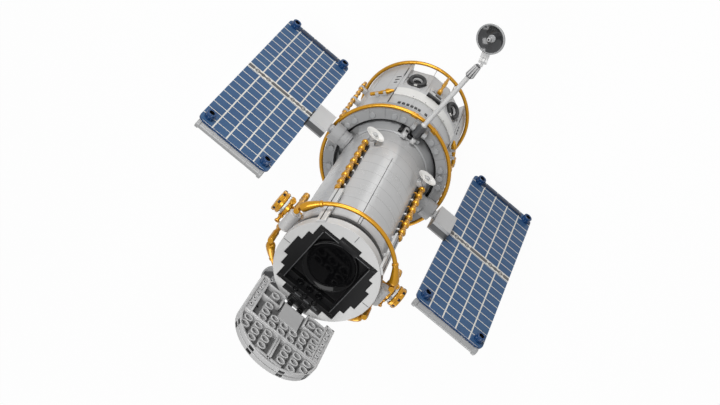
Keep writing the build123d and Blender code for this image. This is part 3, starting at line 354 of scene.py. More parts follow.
@dataclass(frozen=True)
class Plastic:
    """Moulded plastic finish."""
    name: str
    slot: Slot
    tint: Point
    gloss: float = 0.32
    spread: float = 0.1
    flow: float = 0.05
    # Strength of the painted highlight on the edges.
    edge: float = 0.12
    rounding: float = 0.3
    metal: float = 0.0
    grain: float = 0.06
    specular: float = 0.5
    seams: SeamPlan | None = None

    def material(self) -> bpy.types.Material:
        """Build the finish's material.

        Returns:
            The material.
        """
        material, bench, shader = blank(self.name)
        skin = bench.add("ShaderNodeGroup", node_tree=GROUPS.skin)
        for title, value in (("Tint", (*self.tint, 1)), ("Flow", self.flow), ("Gloss", self.gloss),
                             ("Gloss Spread", self.spread), ("Edge", self.edge),
                             ("Round", self.rounding * MM), ("Grain", self.grain)):
            skin.inputs[title].default_value = value
        colour, normal = skin.outputs["Color"], skin.outputs["Normal"]
        if self.seams:
            lay = bench.add("ShaderNodeGroup", node_tree=GROUPS.seams)
            for title, value in (("Ring Pitch", self.seams.pitch * MM), ("Ring Shift", self.seams.shift * MM),
                                 ("Spokes", self.seams.spokes), ("Turn", radians(self.seams.turn)),
                                 ("Radius", self.seams.radius * MM), ("Width", self.seams.width * MM)):
                lay.inputs[title].default_value = value
            seam = lay.outputs["Seam"]
            colour = bench.mix(bench.math("MULTIPLY", seam, self.seams.depth), colour, SEAM_SHADE)
            groove = {"Strength": 0.5, "Distance": SEAM_DEPTH, "Height": seam, "Normal": normal}
            normal = bench.add("ShaderNodeBump", groove, invert=True).outputs[0]
        bench.feed(shader.inputs["Base Color"], colour)
        bench.feed(shader.inputs["Roughness"], skin.outputs["Roughness"])
        bench.feed(shader.inputs["Normal"], normal)
        shader.inputs["Metallic"].default_value = self.metal
        shader.inputs["Specular IOR Level"].default_value = self.specular
        return material


@dataclass(frozen=True)
class PrintedSheet:
    """Printed cell sheet of the solar arrays."""
    name: str
    slot: Slot
    cell: Point
    cream: Point
    specular: float = 0.14

    def material(self) -> bpy.types.Material:
        """Build the finish's material.

        Returns:
            The material.
        """
        material, bench, shader = blank(self.name)
        lay = bench.add("ShaderNodeGroup", node_tree=GROUPS.cells)
        lay.inputs["Cell"].default_value = (*self.cell, 1)
        lay.inputs["Line"].default_value = (*self.cream, 1)
        bench.feed(shader.inputs["Base Color"], lay.outputs["Color"])
        bench.feed(shader.inputs["Roughness"], bench.ramp(lay.outputs["Print"], 0, 1, 0.24, 0.4))
        shader.inputs["Specular IOR Level"].default_value = self.specular
        return material


@dataclass(frozen=True)
class PrintedStrip:
    """Cream strip across a panel with a dark line and small round marks."""
    name: str
    slot: Slot
    cream: Point
    dark: Point
    bar_half: float = 1.85
    bar_reach: float = 8.6
    tip_start: float = 26.0
    line_half: float = 0.5
    soft: float = 0.15
    marks: tuple[Point, ...] = ((12.4, 2.1, 1.2), (17.6, 1.9, -1.0), (15.4, 1.1, -1.0), (23.0, 2.3, 1.4),
                                (20.0, 1.2, -1.0))

    def material(self) -> bpy.types.Material:
        """Build the finish's material.

        Returns:
            The material.
        """
        material, bench, shader = blank(self.name)
        layout = bench.add("ShaderNodeUVMap", uv_map=SHEET_MAP).outputs[0]
        place = bench.add("ShaderNodeSeparateXYZ", {0: layout})
        across = bench.math("ABSOLUTE", place.outputs[0])
        along = bench.math("ABSOLUTE", place.outputs[1])
        stroke = bench.ramp(along, self.bar_half, self.bar_half + self.soft, 1.0, 0.0)
        middle = bench.ramp(across, self.bar_reach, self.bar_reach + 2 * self.soft, 1.0, 0.0)
        tips = bench.ramp(across, self.tip_start, self.tip_start + 2 * self.soft)
        bars = bench.math("MULTIPLY", stroke, bench.math("MAXIMUM", middle, tips))
        line = bench.ramp(along, self.line_half, self.line_half + self.soft, 1.0, 0.0)
        dark = bench.math("MAXIMUM", bars, line)
        for centre, outer, inner in self.marks:
            off = bench.math("SUBTRACT", across, centre)
            square = bench.math("ADD", bench.math("MULTIPLY", off, off), bench.math("MULTIPLY", along, along))
            far = bench.math("SQRT", square)
            within = bench.ramp(far, outer, outer + self.soft, 1.0, 0.0)
            beyond = bench.ramp(far, inner - self.soft, inner)
            dark = bench.math("MAXIMUM", dark, bench.math("MULTIPLY", within, beyond))
        bench.feed(shader.inputs["Base Color"], bench.mix(dark, (*self.cream, 1), (*self.dark, 1)))
        bench.feed(shader.inputs["Roughness"], bench.ramp(dark, 0, 1, 0.38, 0.3))
        return material


@dataclass(frozen=True)
class ClearPlate:
    """Clear moulded plate."""
    name: str
    slot: Slot
    tint: Point = (0.86, 0.88, 0.88)
    clearness: float = 0.75

    def material(self) -> bpy.types.Material:
        """Build the finish's material.

        Returns:
            The material.
        """
        material, bench, shader = blank(self.name)
        place = bench.add("ShaderNodeTexCoord").outputs["Object"]
        haze = bench.add("ShaderNodeTexNoise", {"Vector": place, "Scale": HAZE_SCALE}).outputs[0]
        bench.feed(shader.inputs["Roughness"], bench.ramp(haze, 0.3, 0.7, 0.05, 0.16))
        shader.inputs["Base Color"].default_value = (*self.tint, 1)
        shader.inputs["Transmission Weight"].default_value = self.clearness
        return material


BODY_GREY: Point = (0.545, 0.545, 0.545)
TUBE_SEAMS = SeamPlan(16.0, 15.0, 4, 45.0, 35.2, 0.26, 0.5)
SHROUD_SEAMS = SeamPlan(29.0, 2.0, 10, 0.0, 46.0, 0.25, 0.4)
DECK_SEAMS = SeamPlan(200.0, 60.0, 24, 7.5, 46.0, 0.3, 0.5)
FINISHES: dict[str, Plastic | PrintedSheet | PrintedStrip | ClearPlate] = {f.name: f for f in (
    Plastic("light_grey", Slot.LIGHT, BODY_GREY),
    Plastic("tube_grey", Slot.LIGHT, BODY_GREY, gloss=0.26, seams=TUBE_SEAMS),
    Plastic("shroud_grey", Slot.LIGHT, BODY_GREY, seams=SHROUD_SEAMS),
    # Darker copy of the light grey for the equipment deck: painted shade.
    Plastic("shaded_deck_grey", Slot.LIGHT, (0.32, 0.322, 0.325), seams=DECK_SEAMS),
    Plastic("pale_grey", Slot.LIGHT, (0.66, 0.66, 0.655)),
    Plastic("mid_grey", Slot.LIGHT, (0.35, 0.355, 0.36)),
    # Darker copy of the light grey for the array hubs, also used on the roller feet: partly painted shade.
    Plastic("hub_shade_grey", Slot.LIGHT, (0.34, 0.342, 0.345)),
    # Near-black copy of the light grey: painted shade on the door's sunk bay floors, and also the colour of
    # the door's tile seams.
    Plastic("bay_shade_and_seam_grey", Slot.LIGHT, (0.1, 0.1, 0.1), gloss=0.5),
    Plastic("dark_grey", Slot.DARK, (0.062, 0.064, 0.067), flow=0.1),
    Plastic("black", Slot.BLACK, (0.008, 0.008, 0.0085), gloss=0.34, edge=0.05, specular=0.2),
    Plastic("black_gloss", Slot.GLOSS, (0.003, 0.003, 0.0035), gloss=0.04, spread=0.02, edge=0.02, grain=0.0,
            specular=0.12),
    Plastic("dish_grey", Slot.DARK, (0.03, 0.031, 0.033), gloss=0.14, spread=0.08, edge=0.06),
    Plastic("rubber", Slot.BLACK, (0.03, 0.03, 0.031), gloss=0.62, edge=0.05),
    Plastic("gold", Slot.GOLD, (0.57, 0.27, 0.008), gloss=0.2, spread=0.12, flow=0.15, edge=0.08, metal=0.5),
    Plastic("white", Slot.WHITE, (0.86, 0.85, 0.82), gloss=0.24, edge=0.05),
    Plastic("navy", Slot.NAVY, (0.008, 0.055, 0.17), gloss=0.24, specular=0.3),
    Plastic("deep_navy", Slot.NAVY, (0.004, 0.018, 0.055), gloss=0.3, specular=0.3),
    PrintedSheet("cell_sheet", Slot.CELL, (0.05, 0.117, 0.25), (0.8, 0.78, 0.72)),
    PrintedStrip("print_strip", Slot.DARK, (0.78, 0.76, 0.71), (0.085, 0.085, 0.085)),
    ClearPlate("clear", Slot.WHITE),
)}
MATERIALS: dict[str, bpy.types.Material] = {name: finish.material() for name, finish in FINISHES.items()}


def axes(origin: Point | Vector, normal: Point | Vector, across: Point | Vector) -> Matrix:
    """Placing matrix from a point, the direction of local z and one near local x.

    Args:
        origin: place in millimetres.
        normal: direction of local z.
        across: direction that local x follows.

    Returns:
        The matrix.
    """
    z = Vector(normal).normalized()
    x = (Vector(across) - z * Vector(across).dot(z)).normalized()
    turn = Matrix((x, z.cross(x), z)).transposed().to_4x4()
    return Matrix.Translation(Vector(origin)) @ turn


def spoke(angle: float, radius: float, z: float) -> Matrix:
    """Place on the side of a round body: local z points out and local x forward.

    Args:
        angle: degrees from +X.
        radius: distance from the Z axis.
        z: height.

    Returns:
        The matrix.
    """
    out = Vector((cos(radians(angle)), sin(radians(angle)), 0))
    return axes(out * radius + Vector((0, 0, z)), out, UP)


def upright(x: float, y: float, z: float) -> Matrix:
    """Place whose local axes run along the model's own."""
    return axes((x, y, z), UP, RIGHT)


def raised(place: Matrix, x: float, y: float, z: float) -> Matrix:
    """Place moved along its own axes."""
    return place @ Matrix.Translation((x, y, z))


@dataclass(frozen=True)
class Brick:
    """Softened block of one finish, with the three numbers of its place."""
    finish: str
    place: Point
    size: Point
    soft: float = 0.25


class Stock:
    """A mesh in the making, in millimetres, with one finish at a time."""

    def __init__(self, *finishes: str) -> None:
        """Start empty.

        Args:
            finishes: names of the finishes that it will use.
        """
        self.mesh = bmesh.new()
        self.finishes = finishes
        self.index = 0

    def use(self, finish: str) -> "Stock":
        """Choose the finish of the faces that come next."""
        self.index = self.finishes.index(finish)
        return self

    def face(self, corners: Sequence[bmesh.types.BMVert]) -> None:
        """Add one smooth face unless its corners coincide.

        Args:
            corners: its corner points in order.
        """
        unique = list(dict.fromkeys(corners))
        if len(unique) > 2:
            made = self.mesh.faces.new(unique)
            made.material_index = self.index
            made.smooth = True

    def join(self, low: Sequence[bmesh.types.BMVert], high: Sequence[bmesh.types.BMVert], steps: int) -> None:
        """Close the band between two rows of points.

        Args:
            low: points of the first row.
            high: points of the second row.
            steps: number of faces.
        """
        for k in range(steps):
            n = (k + 1) % len(low)
            self.face((low[k], low[n], high[n], high[k]))

    def turned(self, place: Matrix, profile: Profile, sides: int = 32, start: float = 0.0,
               sweep: float = FULL_TURN) -> None:
        """Turn a profile round local z.

        Args:
            place: where the local origin and axes are.
            profile: radius and height of each point; a radius of zero closes the form.
            sides: steps round the axis.
            start: first angle in degrees.
            sweep: angle turned through.
        """
        count = sides if sweep >= FULL_TURN else sides + 1
        angles = [radians(start + sweep * k / sides) for k in range(count)]
        rows = []
        for radius, height in profile:
            if radius <= 0:
                rows.append([self.mesh.verts.new(place @ Vector((0, 0, height)))] * count)
                continue
            ring = [Vector((radius * cos(a), radius * sin(a), height)) for a in angles]
            rows.append([self.mesh.verts.new(place @ point) for point in ring])
        for low, high in zip(rows, rows[1:]):
            self.join(low, high, sides)

    def pipe(self, line: Sequence[Point | Vector], radii: float | Sequence[float], sides: int = 14,
             closed: bool = False) -> None:
        """Sweep a round section along points.

        Args:
            line: centre points.
            radii: one radius, or one for each point.
            sides: steps round the section.
            closed: whether the line meets its own start.
        """
        points = [Vector(p) for p in line]
        sizes = [radii] * len(points) if isinstance(radii, (int, float)) else list(radii)
        turns = [2 * pi * k / sides for k in range(sides)]
        rows, side = [], None
        for i, point in enumerate(points):
            ahead = points[(i + 1) % len(points)] if closed or i + 1 < len(points) else point
            behind = points[i - 1] if closed or i else point
            along = (ahead - behind).normalized()
            side = side or along.orthogonal()
            side = (side - along * side.dot(along)).normalized()
            up = along.cross(side)
            ring = [point + (side * cos(a) + up * sin(a)) * sizes[i] for a in turns]
            rows.append([self.mesh.verts.new(spot) for spot in ring])
        pairs = list(zip(rows, rows[1:])) + ([(rows[-1], rows[0])] if closed else [])
        for low, high in pairs:
            self.join(low, high, sides)
        if not closed:
            self.face(rows[0][::-1])
            self.face(rows[-1])

    def rod(self, start: Point | Vector, end: Point | Vector, radius: float, sides: int = 16,
            soft: float = 0.25) -> None:
        """Round rod with softened ends.

        Args:
            start: centre of one end.
            end: centre of the other end.
            radius: radius of the rod.
            sides: steps round it.
            soft: size of the softened edge.
        """
        along = Vector(end) - Vector(start)
        length = along.length
        profile = [(0, 0), (radius - soft, 0), (radius, soft), (radius, length - soft),
                   (radius - soft, length), (0, length)]
        self.turned(axes(start, along, along.orthogonal()), profile, sides)

    def block(self, place: Matrix, size: Point, soft: float = 0.25) -> None:
        """Box with softened edges, centred on its place.

        Args:
            place: where its centre and axes are.
            size: full length along each local axis.
            soft: size of the softened edges.
        """
        made = bmesh.ops.create_cube(self.mesh, size=1.0, matrix=place @ Matrix.Diagonal((*size, 1)))
        edges = list({e for v in made["verts"] for e in v.link_edges})
        faces = {f for v in made["verts"] for f in v.link_faces}
        for f in faces:
            f.material_index = self.index
        result = bmesh.ops.bevel(self.mesh, geom=edges, offset=soft, segments=2, profile=0.5, affect="EDGES")
        for f in result["faces"]:
            f.material_index = self.index
            f.smooth = True

    def bricks(self, rows: Sequence[Brick], spot: Callable[[float, float, float], Matrix]) -> None:
        """Add the blocks of a list.

        Args:
            rows: the blocks.
            spot: turns the three numbers of a block's place into its matrix.
        """
        for row in rows:
            self.use(row.finish).block(spot(*row.place), row.size, row.soft)

    def slab(self, place: Matrix, outline: Profile, height: float) -> None:
        """Flat plate from an outline in local x and y, raised along local z.

        Args:
            place: where its lower face is.
            outline: corner points, counter-clockwise.
            height: thickness.
        """
        low = [self.mesh.verts.new(place @ Vector((x, y, 0))) for x, y in outline]
        high = [self.mesh.verts.new(place @ Vector((x, y, height))) for x, y in outline]
        sides = [(low[k - 1], low[k], high[k], high[k - 1]) for k in range(1, len(low))]
        for ring in (low[::-1], high, *sides, (low[-1], low[0], high[0], high[-1])):
            made = self.mesh.faces.new(ring)
            made.material_index = self.index

    def stud(self, place: Matrix, radius: float = 2.4, height: float = 1.7, soft: float = 0.3) -> None:
        """Round stud standing on its place."""
        profile = [(radius, -soft), (radius, height - soft), (radius - soft, height), (0, height)]
        self.turned(place, profile, 24)

    def tube(self, place: Matrix, radius: float, hole: float, height: float, deep: float,
             soft: float = 0.2) -> None:
        """Hollow round tube standing on its place, open at the top down to a depth."""
        profile = [(radius, -soft), (radius, height - soft), (radius - soft, height), (hole + 0.15, height),
                   (hole, height - soft), (hole, height - deep), (0, height - deep)]
        self.turned(place, profile, 24)

    def build(self, name: str, body: str, slot: Slot, replaced: Sequence[str] = ()) -> None:
        """Turn the stock into a piece of the model.

        Args:
            name: name of the piece.
            body: CAD body that it rides on.
            slot: record slot of its main finish; not used.
            replaced: CAD nodes that it stands for.
        """
        bmesh.ops.recalc_face_normals(self.mesh, faces=self.mesh.faces)
        data = bpy.data.meshes.new(name)
        self.mesh.transform(Matrix.Scale(MM, 4))
        self.mesh.to_mesh(data)
        self.mesh.free()
        for finish in self.finishes:
            data.materials.append(MATERIALS[finish])
        data.set_sharp_from_angle(angle=radians(SHARP_EDGE))
        piece = bpy.data.objects.new(name, data)
        bpy.context.scene.collection.objects.link(piece)
        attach(piece, body)
        if replaced:
            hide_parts(*replaced)
        LOG.info("%s: %d faces on %s", name, len(data.polygons), body)


def arc(radius: float, z: float, start: float, end: float, steps: int) -> list[Vector]:
    """Points on a level arc round the Z axis.

    Args:
        radius: radius of the arc.
        z: its height.
        start: first angle in degrees.
        end: last angle in degrees.
        steps: number of runs.

    Returns:
        The points.
    """
    angles = [radians(start + (end - start) * k / steps) for k in range(steps + 1)]
    return [Vector((radius * cos(a), radius * sin(a), z)) for a in angles]


def hose_ring(name: str, node: str, radius: float, z: float) -> None:
    """Closed gold hose round the telescope.

    Args:
        name: name of the piece.
        node: CAD node that it stands for.
        radius: radius of the ring.
        z: its height.
    """
    hose = Stock("gold")
    last = FULL_TURN - FULL_TURN / RING_STEPS
    hose.pipe(arc(radius, z, 0, last, RING_STEPS - 1), HOSE_RADIUS, HOSE_SIDES, closed=True)
    hose.build(name, BODY, Slot.GOLD, [node])


def dress(finish: str, *nodes: str) -> None:
    """Give CAD nodes a finish.

    Args:
        finish: name of the finish.
        nodes: names of the nodes.
    """
    for node in nodes:
        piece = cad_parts[node]
        if not piece.material_slots:
            piece.data.materials.append(None)
        piece.material_slots[0].link = "OBJECT"
        piece.material_slots[0].material = MATERIALS[finish]
        LOG.info("%s dressed in %s", node, finish)


class Part(Protocol):
    """A sub-assembly that makes its own pieces."""

    def build(self) -> None:
        """Make and dress every piece."""


@dataclass
class AftSection:
    """Aft shroud with its wheels, white band, vents, lever and hand rails."""
    radius: float = 46.0
    hose_radius: float = 48.1
    hose_z: float = 4.0
    facet_radius: float = 38.3
    facet_rise: float = 6.5
    facet_top: float = 60.0
    wheel_angles: tuple[float, float] = (64.0, 116.0)
    wheel_z: float = 40.0
    wheel_tilt: float = 25.0
    wheel_lift: float = -0.3
    tyre: Profile = ((4.3, 0.1), (6.2, 0.05), (7.4, 0.8), (7.8, 1.8), (7.8, 2.9), (7.3, 4.0), (6.2, 4.6),
                     (5.3, 4.4), (4.7, 3.8), (4.3, 2.6), (4.3, 0.1))
    hub: Profile = ((4.15, -2.6), (4.15, 2.3), (3.8, 2.5), (3.5, 2.2), (3.3, 0.8))
    hub_cup_shade: Profile = ((3.3, 0.8), (1.4, 0.7), (1.4, 1.6), (1.1, 1.8), (0, 1.8))
    pocket_shadow: Profile = ((-8.4, 42.0), (-4.6, 56.0), (2.4, 56.0), (6.6, 52.6), (13.2, 30.0), (8.4, 30.0))
    pocket_shadow_lift: float = 0.04
    pocket_shadow_height: float = 0.25
    peg_shift: float = 11.2
    hand_rail_z: float = 87.0
    hand_rail_angle: float = 52.0
    hand_rail_lift: float = 2.9
    hand_rail_half: float = 10.4
    hand_rail: Profile = ((0, 0), (1.3, 0), (1.6, 0.3), (1.6, 4.2), (1.35, 4.5), (1.35, 8.6), (1.6, 8.9),
                          (1.6, 13.5), (2.3, 13.9), (2.3, 16.4), (1.5, 18.6), (0.9, 20.6), (0, 20.8))
    hand_clip_shifts: tuple[float, float] = (-4.6, 2.2)
    hand_clip_drop: float = 0.9
    hand_clip: Point = (2.8, 3.4, 3.8)
    side_rail_z: tuple[float, float] = (22.0, 112.0)
    side_rail_lift: float = 5.6
    side_rail_knots: int = 9
    side_rail_start: Profile = ((0, 0), (1.3, 0), (1.6, 0.3))
    side_rail_knot: Profile = ((1.6, 1.0), (1.6, 6.4), (2.1, 6.8), (2.1, 8.4), (1.6, 8.8))
    side_clip_z: tuple[float, ...] = (37.0, 67.0, 97.0)
    side_clip: Point = (5.6, 4.0, 4.0)
    side_clip_ring: Profile = ((2.5, 0), (2.5, 3.2), (1.7, 3.2))
    lever_z: float = 50.0
    lever_lift: float = 3.2
    lever_lean: float = 14.0
    lever_rod: Profile = ((0, 0), (1.9, 0.2), (2.2, 1.4), (2.2, 4.4), (1.3, 5.6), (1.3, 12.0), (1.7, 12.5),
                          (1.7, 19.5), (1.3, 20.0), (1.3, 25.5), (0.9, 26.6), (0, 26.8))
    lever_foot: Point = (5.0, 3.2, 1.9)
    vent_angles: tuple[float, ...] = (121.0, 116.5, 112.0, 107.6, 103.4, 99.4, 91.2)
    vent_z: float = 103.6
    vent: Point = (4.4, 2.5, 0.6)
    rear_vent_z: float = 103.4
    rear_vent: Point = (3.0, 2.2, 0.6)
    grille: tuple[Brick, ...] = (
        Brick("black", (92.4, 47.3, 68.8), (4.2, 13.0, 4.0), 0.5),
        Brick("light_grey", (91.0, 46.9, 63.0), (5.2, 13.0, 4.2), 0.3),
        # Black block in the grille's slot: painted shade.
        Brick("black", (88.6, 49.0, 62.6), (3.6, 6.8, 0.3), 0.1))
    bracket_z: float = 51.0
    bracket_shift: float = 2.6
    bracket: Point = (9.4, 15.0, 1.8)
    bracket_slot_shade: Point = (3.0, 7.0, 0.3)
    knob_angles: tuple[float, ...] = (111.0, 97.4, 71.5)
    knob_z: float = 85.0
    seam_angles: tuple[float, float] = (132.4, 47.6)
    seam_and_shadow_spans: Profile = ((14.0, 35.0), (69.0, 106.0))
    rear_seam: Point = (92.0, 1.0, 0.3)
    rear_seam_z: float = 60.0
    sill_shifts: tuple[float, float] = (-9.2, 9.2)
    sill: Point = (1.2, 14.0, 1.2)
    slits: tuple[Brick, ...] = (
        Brick("black", (137.4, 46.1, 38.0), (1.3, 4.4, 0.5), 0.2),
        Brick("black", (43.4, 46.1, 39.8), (2.0, 1.6, 0.5), 0.2),
        Brick("black", (137.4, 46.1, 45.6), (1.3, 3.7, 0.5), 0.2),
        Brick("black", (42.7, 46.1, 45.8), (2.0, 1.6, 0.5), 0.2),
        Brick("black", (137.4, 46.1, 53.2), (1.3, 3.0, 0.5), 0.2),
        Brick("black", (42.0, 46.1, 51.8), (2.0, 1.6, 0.5), 0.2))
    hatches: tuple[tuple[float, float, float, float], ...] = ((-112.0, 44.0, 16.0, 58.0),
                                                              (-106.0, 32.0, 66.0, 94.0))
    hatch_inset: float = 4.0

    @property
    def slope(self) -> float:
        """Slant of the facets in radians."""
        return atan2(self.facet_rise, self.facet_top)

    def facet(self, angle: float, z: float, lift: float = 0.0) -> Matrix:
        """Place on a slanted facet, its local z out of the facet and local y nearly forward.

        Args:
            angle: direction of the facet in degrees from +X.
            z: height.
            lift: distance out of the facet.

        Returns:
            The matrix.
        """
        slope, turn = self.slope, radians(angle)
        reach = self.facet_radius + self.facet_rise * z / self.facet_top
        out = Vector((cos(turn) * cos(slope), sin(turn) * cos(slope), -sin(slope)))
        root = Vector((reach * cos(turn), reach * sin(turn), z))
        return axes(root + out * lift, out, (-sin(turn), cos(turn), 0))

    def build(self) -> None:
        """Make and dress every piece of the aft section."""
        dress("shroud_grey", "aft_shroud")
        dress("dark_grey", "aft_bulkhead")
        dress("white", "shroud_band")
        dress("mid_grey", "aft_lever_base")
        hose_ring("aft_hose_ring", "aft_hose", self.hose_radius, self.hose_z)
        self.wheels()
        self.rails()
        self.lever()
        self.trim()

    def wheels(self) -> None:
        """Rubber tyres tipped forward over black sheets of painted shadow round their pockets, on grey hubs,
        each with a white peg.
        """
        tyres, hubs, pegs = Stock("rubber"), Stock("light_grey", "black"), Stock("white")
        tip = Matrix.Rotation(radians(-self.wheel_tilt), 4, "X")
        for angle in self.wheel_angles:
            place = self.facet(angle, self.wheel_z, self.wheel_lift) @ tip
            tyres.turned(place, self.tyre, 48)
            hubs.use("light_grey").turned(place, self.hub, 40)
            # Black floor of the hub's cup: painted shade in the recess.
            hubs.use("black").turned(place, self.hub_cup_shade, 32)
            # Black sheet round each tyre: painted shadow in the pocket.
            pocket_shadow = self.pocket_shadow if angle > 90 else [(-x, z) for x, z in reversed(self.pocket_shadow)]
            outline = [(x, z / cos(self.slope)) for x, z in pocket_shadow]
            hubs.slab(self.facet(angle, 0, self.pocket_shadow_lift), outline, self.pocket_shadow_height)
            pegs.stud(self.facet(angle, self.wheel_z + self.peg_shift, 0.2), 1.6, 1.0)
        tyres.build("wheel_tyres", BODY, Slot.BLACK, ["bay_tyres"])
        hubs.build("wheel_hubs", BODY, Slot.LIGHT, ["bay_hubs"])
        pegs.build("wheel_pegs", BODY, Slot.WHITE)

    def rails(self) -> None:
        """Gold hand rails and long side rails in grey clips."""
        rods, clips = Stock("gold"), Stock("light_grey")
        for sign in (-1, 1):
            self.short_rail(rods, clips, sign)
            self.long_rail(rods, clips, sign)
        rods.build("gold_hand_rails", BODY, Slot.GOLD, ["hand_rails"])
        clips.build("rail_clips", BODY, Slot.LIGHT, ["hand_rail_clips"])

    def short_rail(self, rods: Stock, clips: Stock, sign: int) -> None:
        """Hand rail with a pointed tip, lying across the shroud.

        Args:
            rods: mesh of the rails.
            clips: mesh of the clips.
            sign: side of the shroud.
        """
        middle = spoke(90 - sign * self.hand_rail_angle, self.radius + self.hand_rail_lift, self.hand_rail_z)
        centre, out = middle.translation, Vector(middle.col[2][:3])
        along = Vector(middle.col[1][:3]) * (1 if middle.col[1][1] > 0 else -1)
        rods.turned(axes(centre - along * self.hand_rail_half, along, UP), self.hand_rail, 20)
        for shift in self.hand_clip_shifts:
            place = axes(centre + along * shift - out * self.hand_clip_drop, out, along)
            clips.block(place, self.hand_clip, 0.3)

    def long_rail(self, rods: Stock, clips: Stock, sign: int) -> None:
        """Knotted rail along the side of the shroud.

        Args:
            rods: mesh of the rails.
            clips: mesh of the clips.
            sign: side of the shroud.
        """
        x = sign * (self.radius + self.side_rail_lift)
        low, high = self.side_rail_z
        length = high - low
        profile = [*self.side_rail_start]
        for k in range(self.side_rail_knots):
            z = length / self.side_rail_knots * k
            profile += [(radius, z + rise) for radius, rise in self.side_rail_knot]
        rods.turned(upright(x, 0, low), [*profile, (1.6, length - 0.3), (0, length)], 20)
        for z in self.side_clip_z:
            clips.block(upright(sign * (self.radius + self.side_rail_lift / 2), 0, z), self.side_clip, 0.3)
            clips.turned(upright(x, 0, z - 1.6), self.side_clip_ring, 20)

    def lever(self) -> None:
        """Gold lever leaning aft over a small grey foot."""
        lever = Stock("gold", "mid_grey")
        root = self.facet(90, self.lever_z, self.lever_lift)
        lean = radians(self.lever_lean)
        along = Vector((0, sin(lean), -cos(lean)))
        foot = root @ Vector((0, 0, 2.0))
        lever.use("gold").turned(axes(foot - along * 3, along, RIGHT), self.lever_rod, 20)
        lever.use("mid_grey").block(raised(root, 0, 0, 0.9), self.lever_foot, 0.3)
        lever.build("lever", BODY, Slot.GOLD, ["aft_lever"])

    def trim(self) -> None:
        """Vents, grille, bracket, knobs, seams, sills and slits of the shroud, with black marks of painted
        shade in the slots and of painted shadow along the seams.
        """
        trim = Stock("black", "light_grey", "dark_grey")
        r = self.radius
        for angle in self.vent_angles:
            trim.use("black").block(spoke(angle, r + 0.1, self.vent_z), self.vent, 0.2)
        trim.bricks(self.grille, spoke)
        bracket = raised(self.facet(90, self.bracket_z, 0.8), self.bracket_shift, 0, 0)
        trim.use("light_grey").block(bracket, self.bracket, 0.3)
        # Black block in the bracket's slot: painted shade.
        trim.use("black").block(raised(bracket, 1.4, 2.6, 0.95), self.bracket_slot_shade, 0.1)
        for angle in self.knob_angles:
            trim.use("dark_grey").stud(spoke(angle, r + 1.0, self.knob_z), 0.7, 0.35)
        # Black lines by the facets' side walls: partly seams, partly painted shadow of the walls.
        for angle in self.seam_angles:
            for low, high in self.seam_and_shadow_spans:
                middle = spoke(angle, r + 0.05, (low + high) / 2)
                trim.use("black").block(middle, (high - low, 1.0, 0.3), 0.1)
        for angle in self.wheel_angles:
            for shift in self.sill_shifts:
                place = raised(self.facet(angle, self.wheel_z, 0.3), shift, 2, 0)
                trim.use("light_grey").block(place, self.sill)
        trim.bricks(self.slits, spoke)
        self.hidden_side(trim)
        trim.build("shroud_trim", BODY, Slot.LIGHT)

    def hidden_side(self, trim: Stock) -> None:
        """Curved access plates, seams and vents of the -Y side.

        Args:
            trim: mesh that they go into.
        """
        r = self.radius
        for start, sweep, low, high in self.hatches:
            plate = [(r - 0.3, low), (r + 0.5, low), (r + 0.8, low + 0.3), (r + 0.8, high - 0.3),
                     (r + 0.5, high), (r - 0.3, high)]
            trim.use("light_grey").turned(CENTRE, plate, 20, start, sweep)
            for angle in (start + self.hatch_inset, start + sweep - self.hatch_inset):
                for z in (low + self.hatch_inset, high - self.hatch_inset):
                    trim.use("dark_grey").stud(spoke(angle, r + 0.7, z), 1.3, 0.6)
        for angle in self.vent_angles:
            trim.use("black").block(spoke(-angle, r + 0.1, self.rear_vent_z), self.rear_vent, 0.2)
        for angle in self.seam_angles:
            trim.block(spoke(-angle, r + 0.05, self.rear_seam_z), self.rear_seam, 0.1)


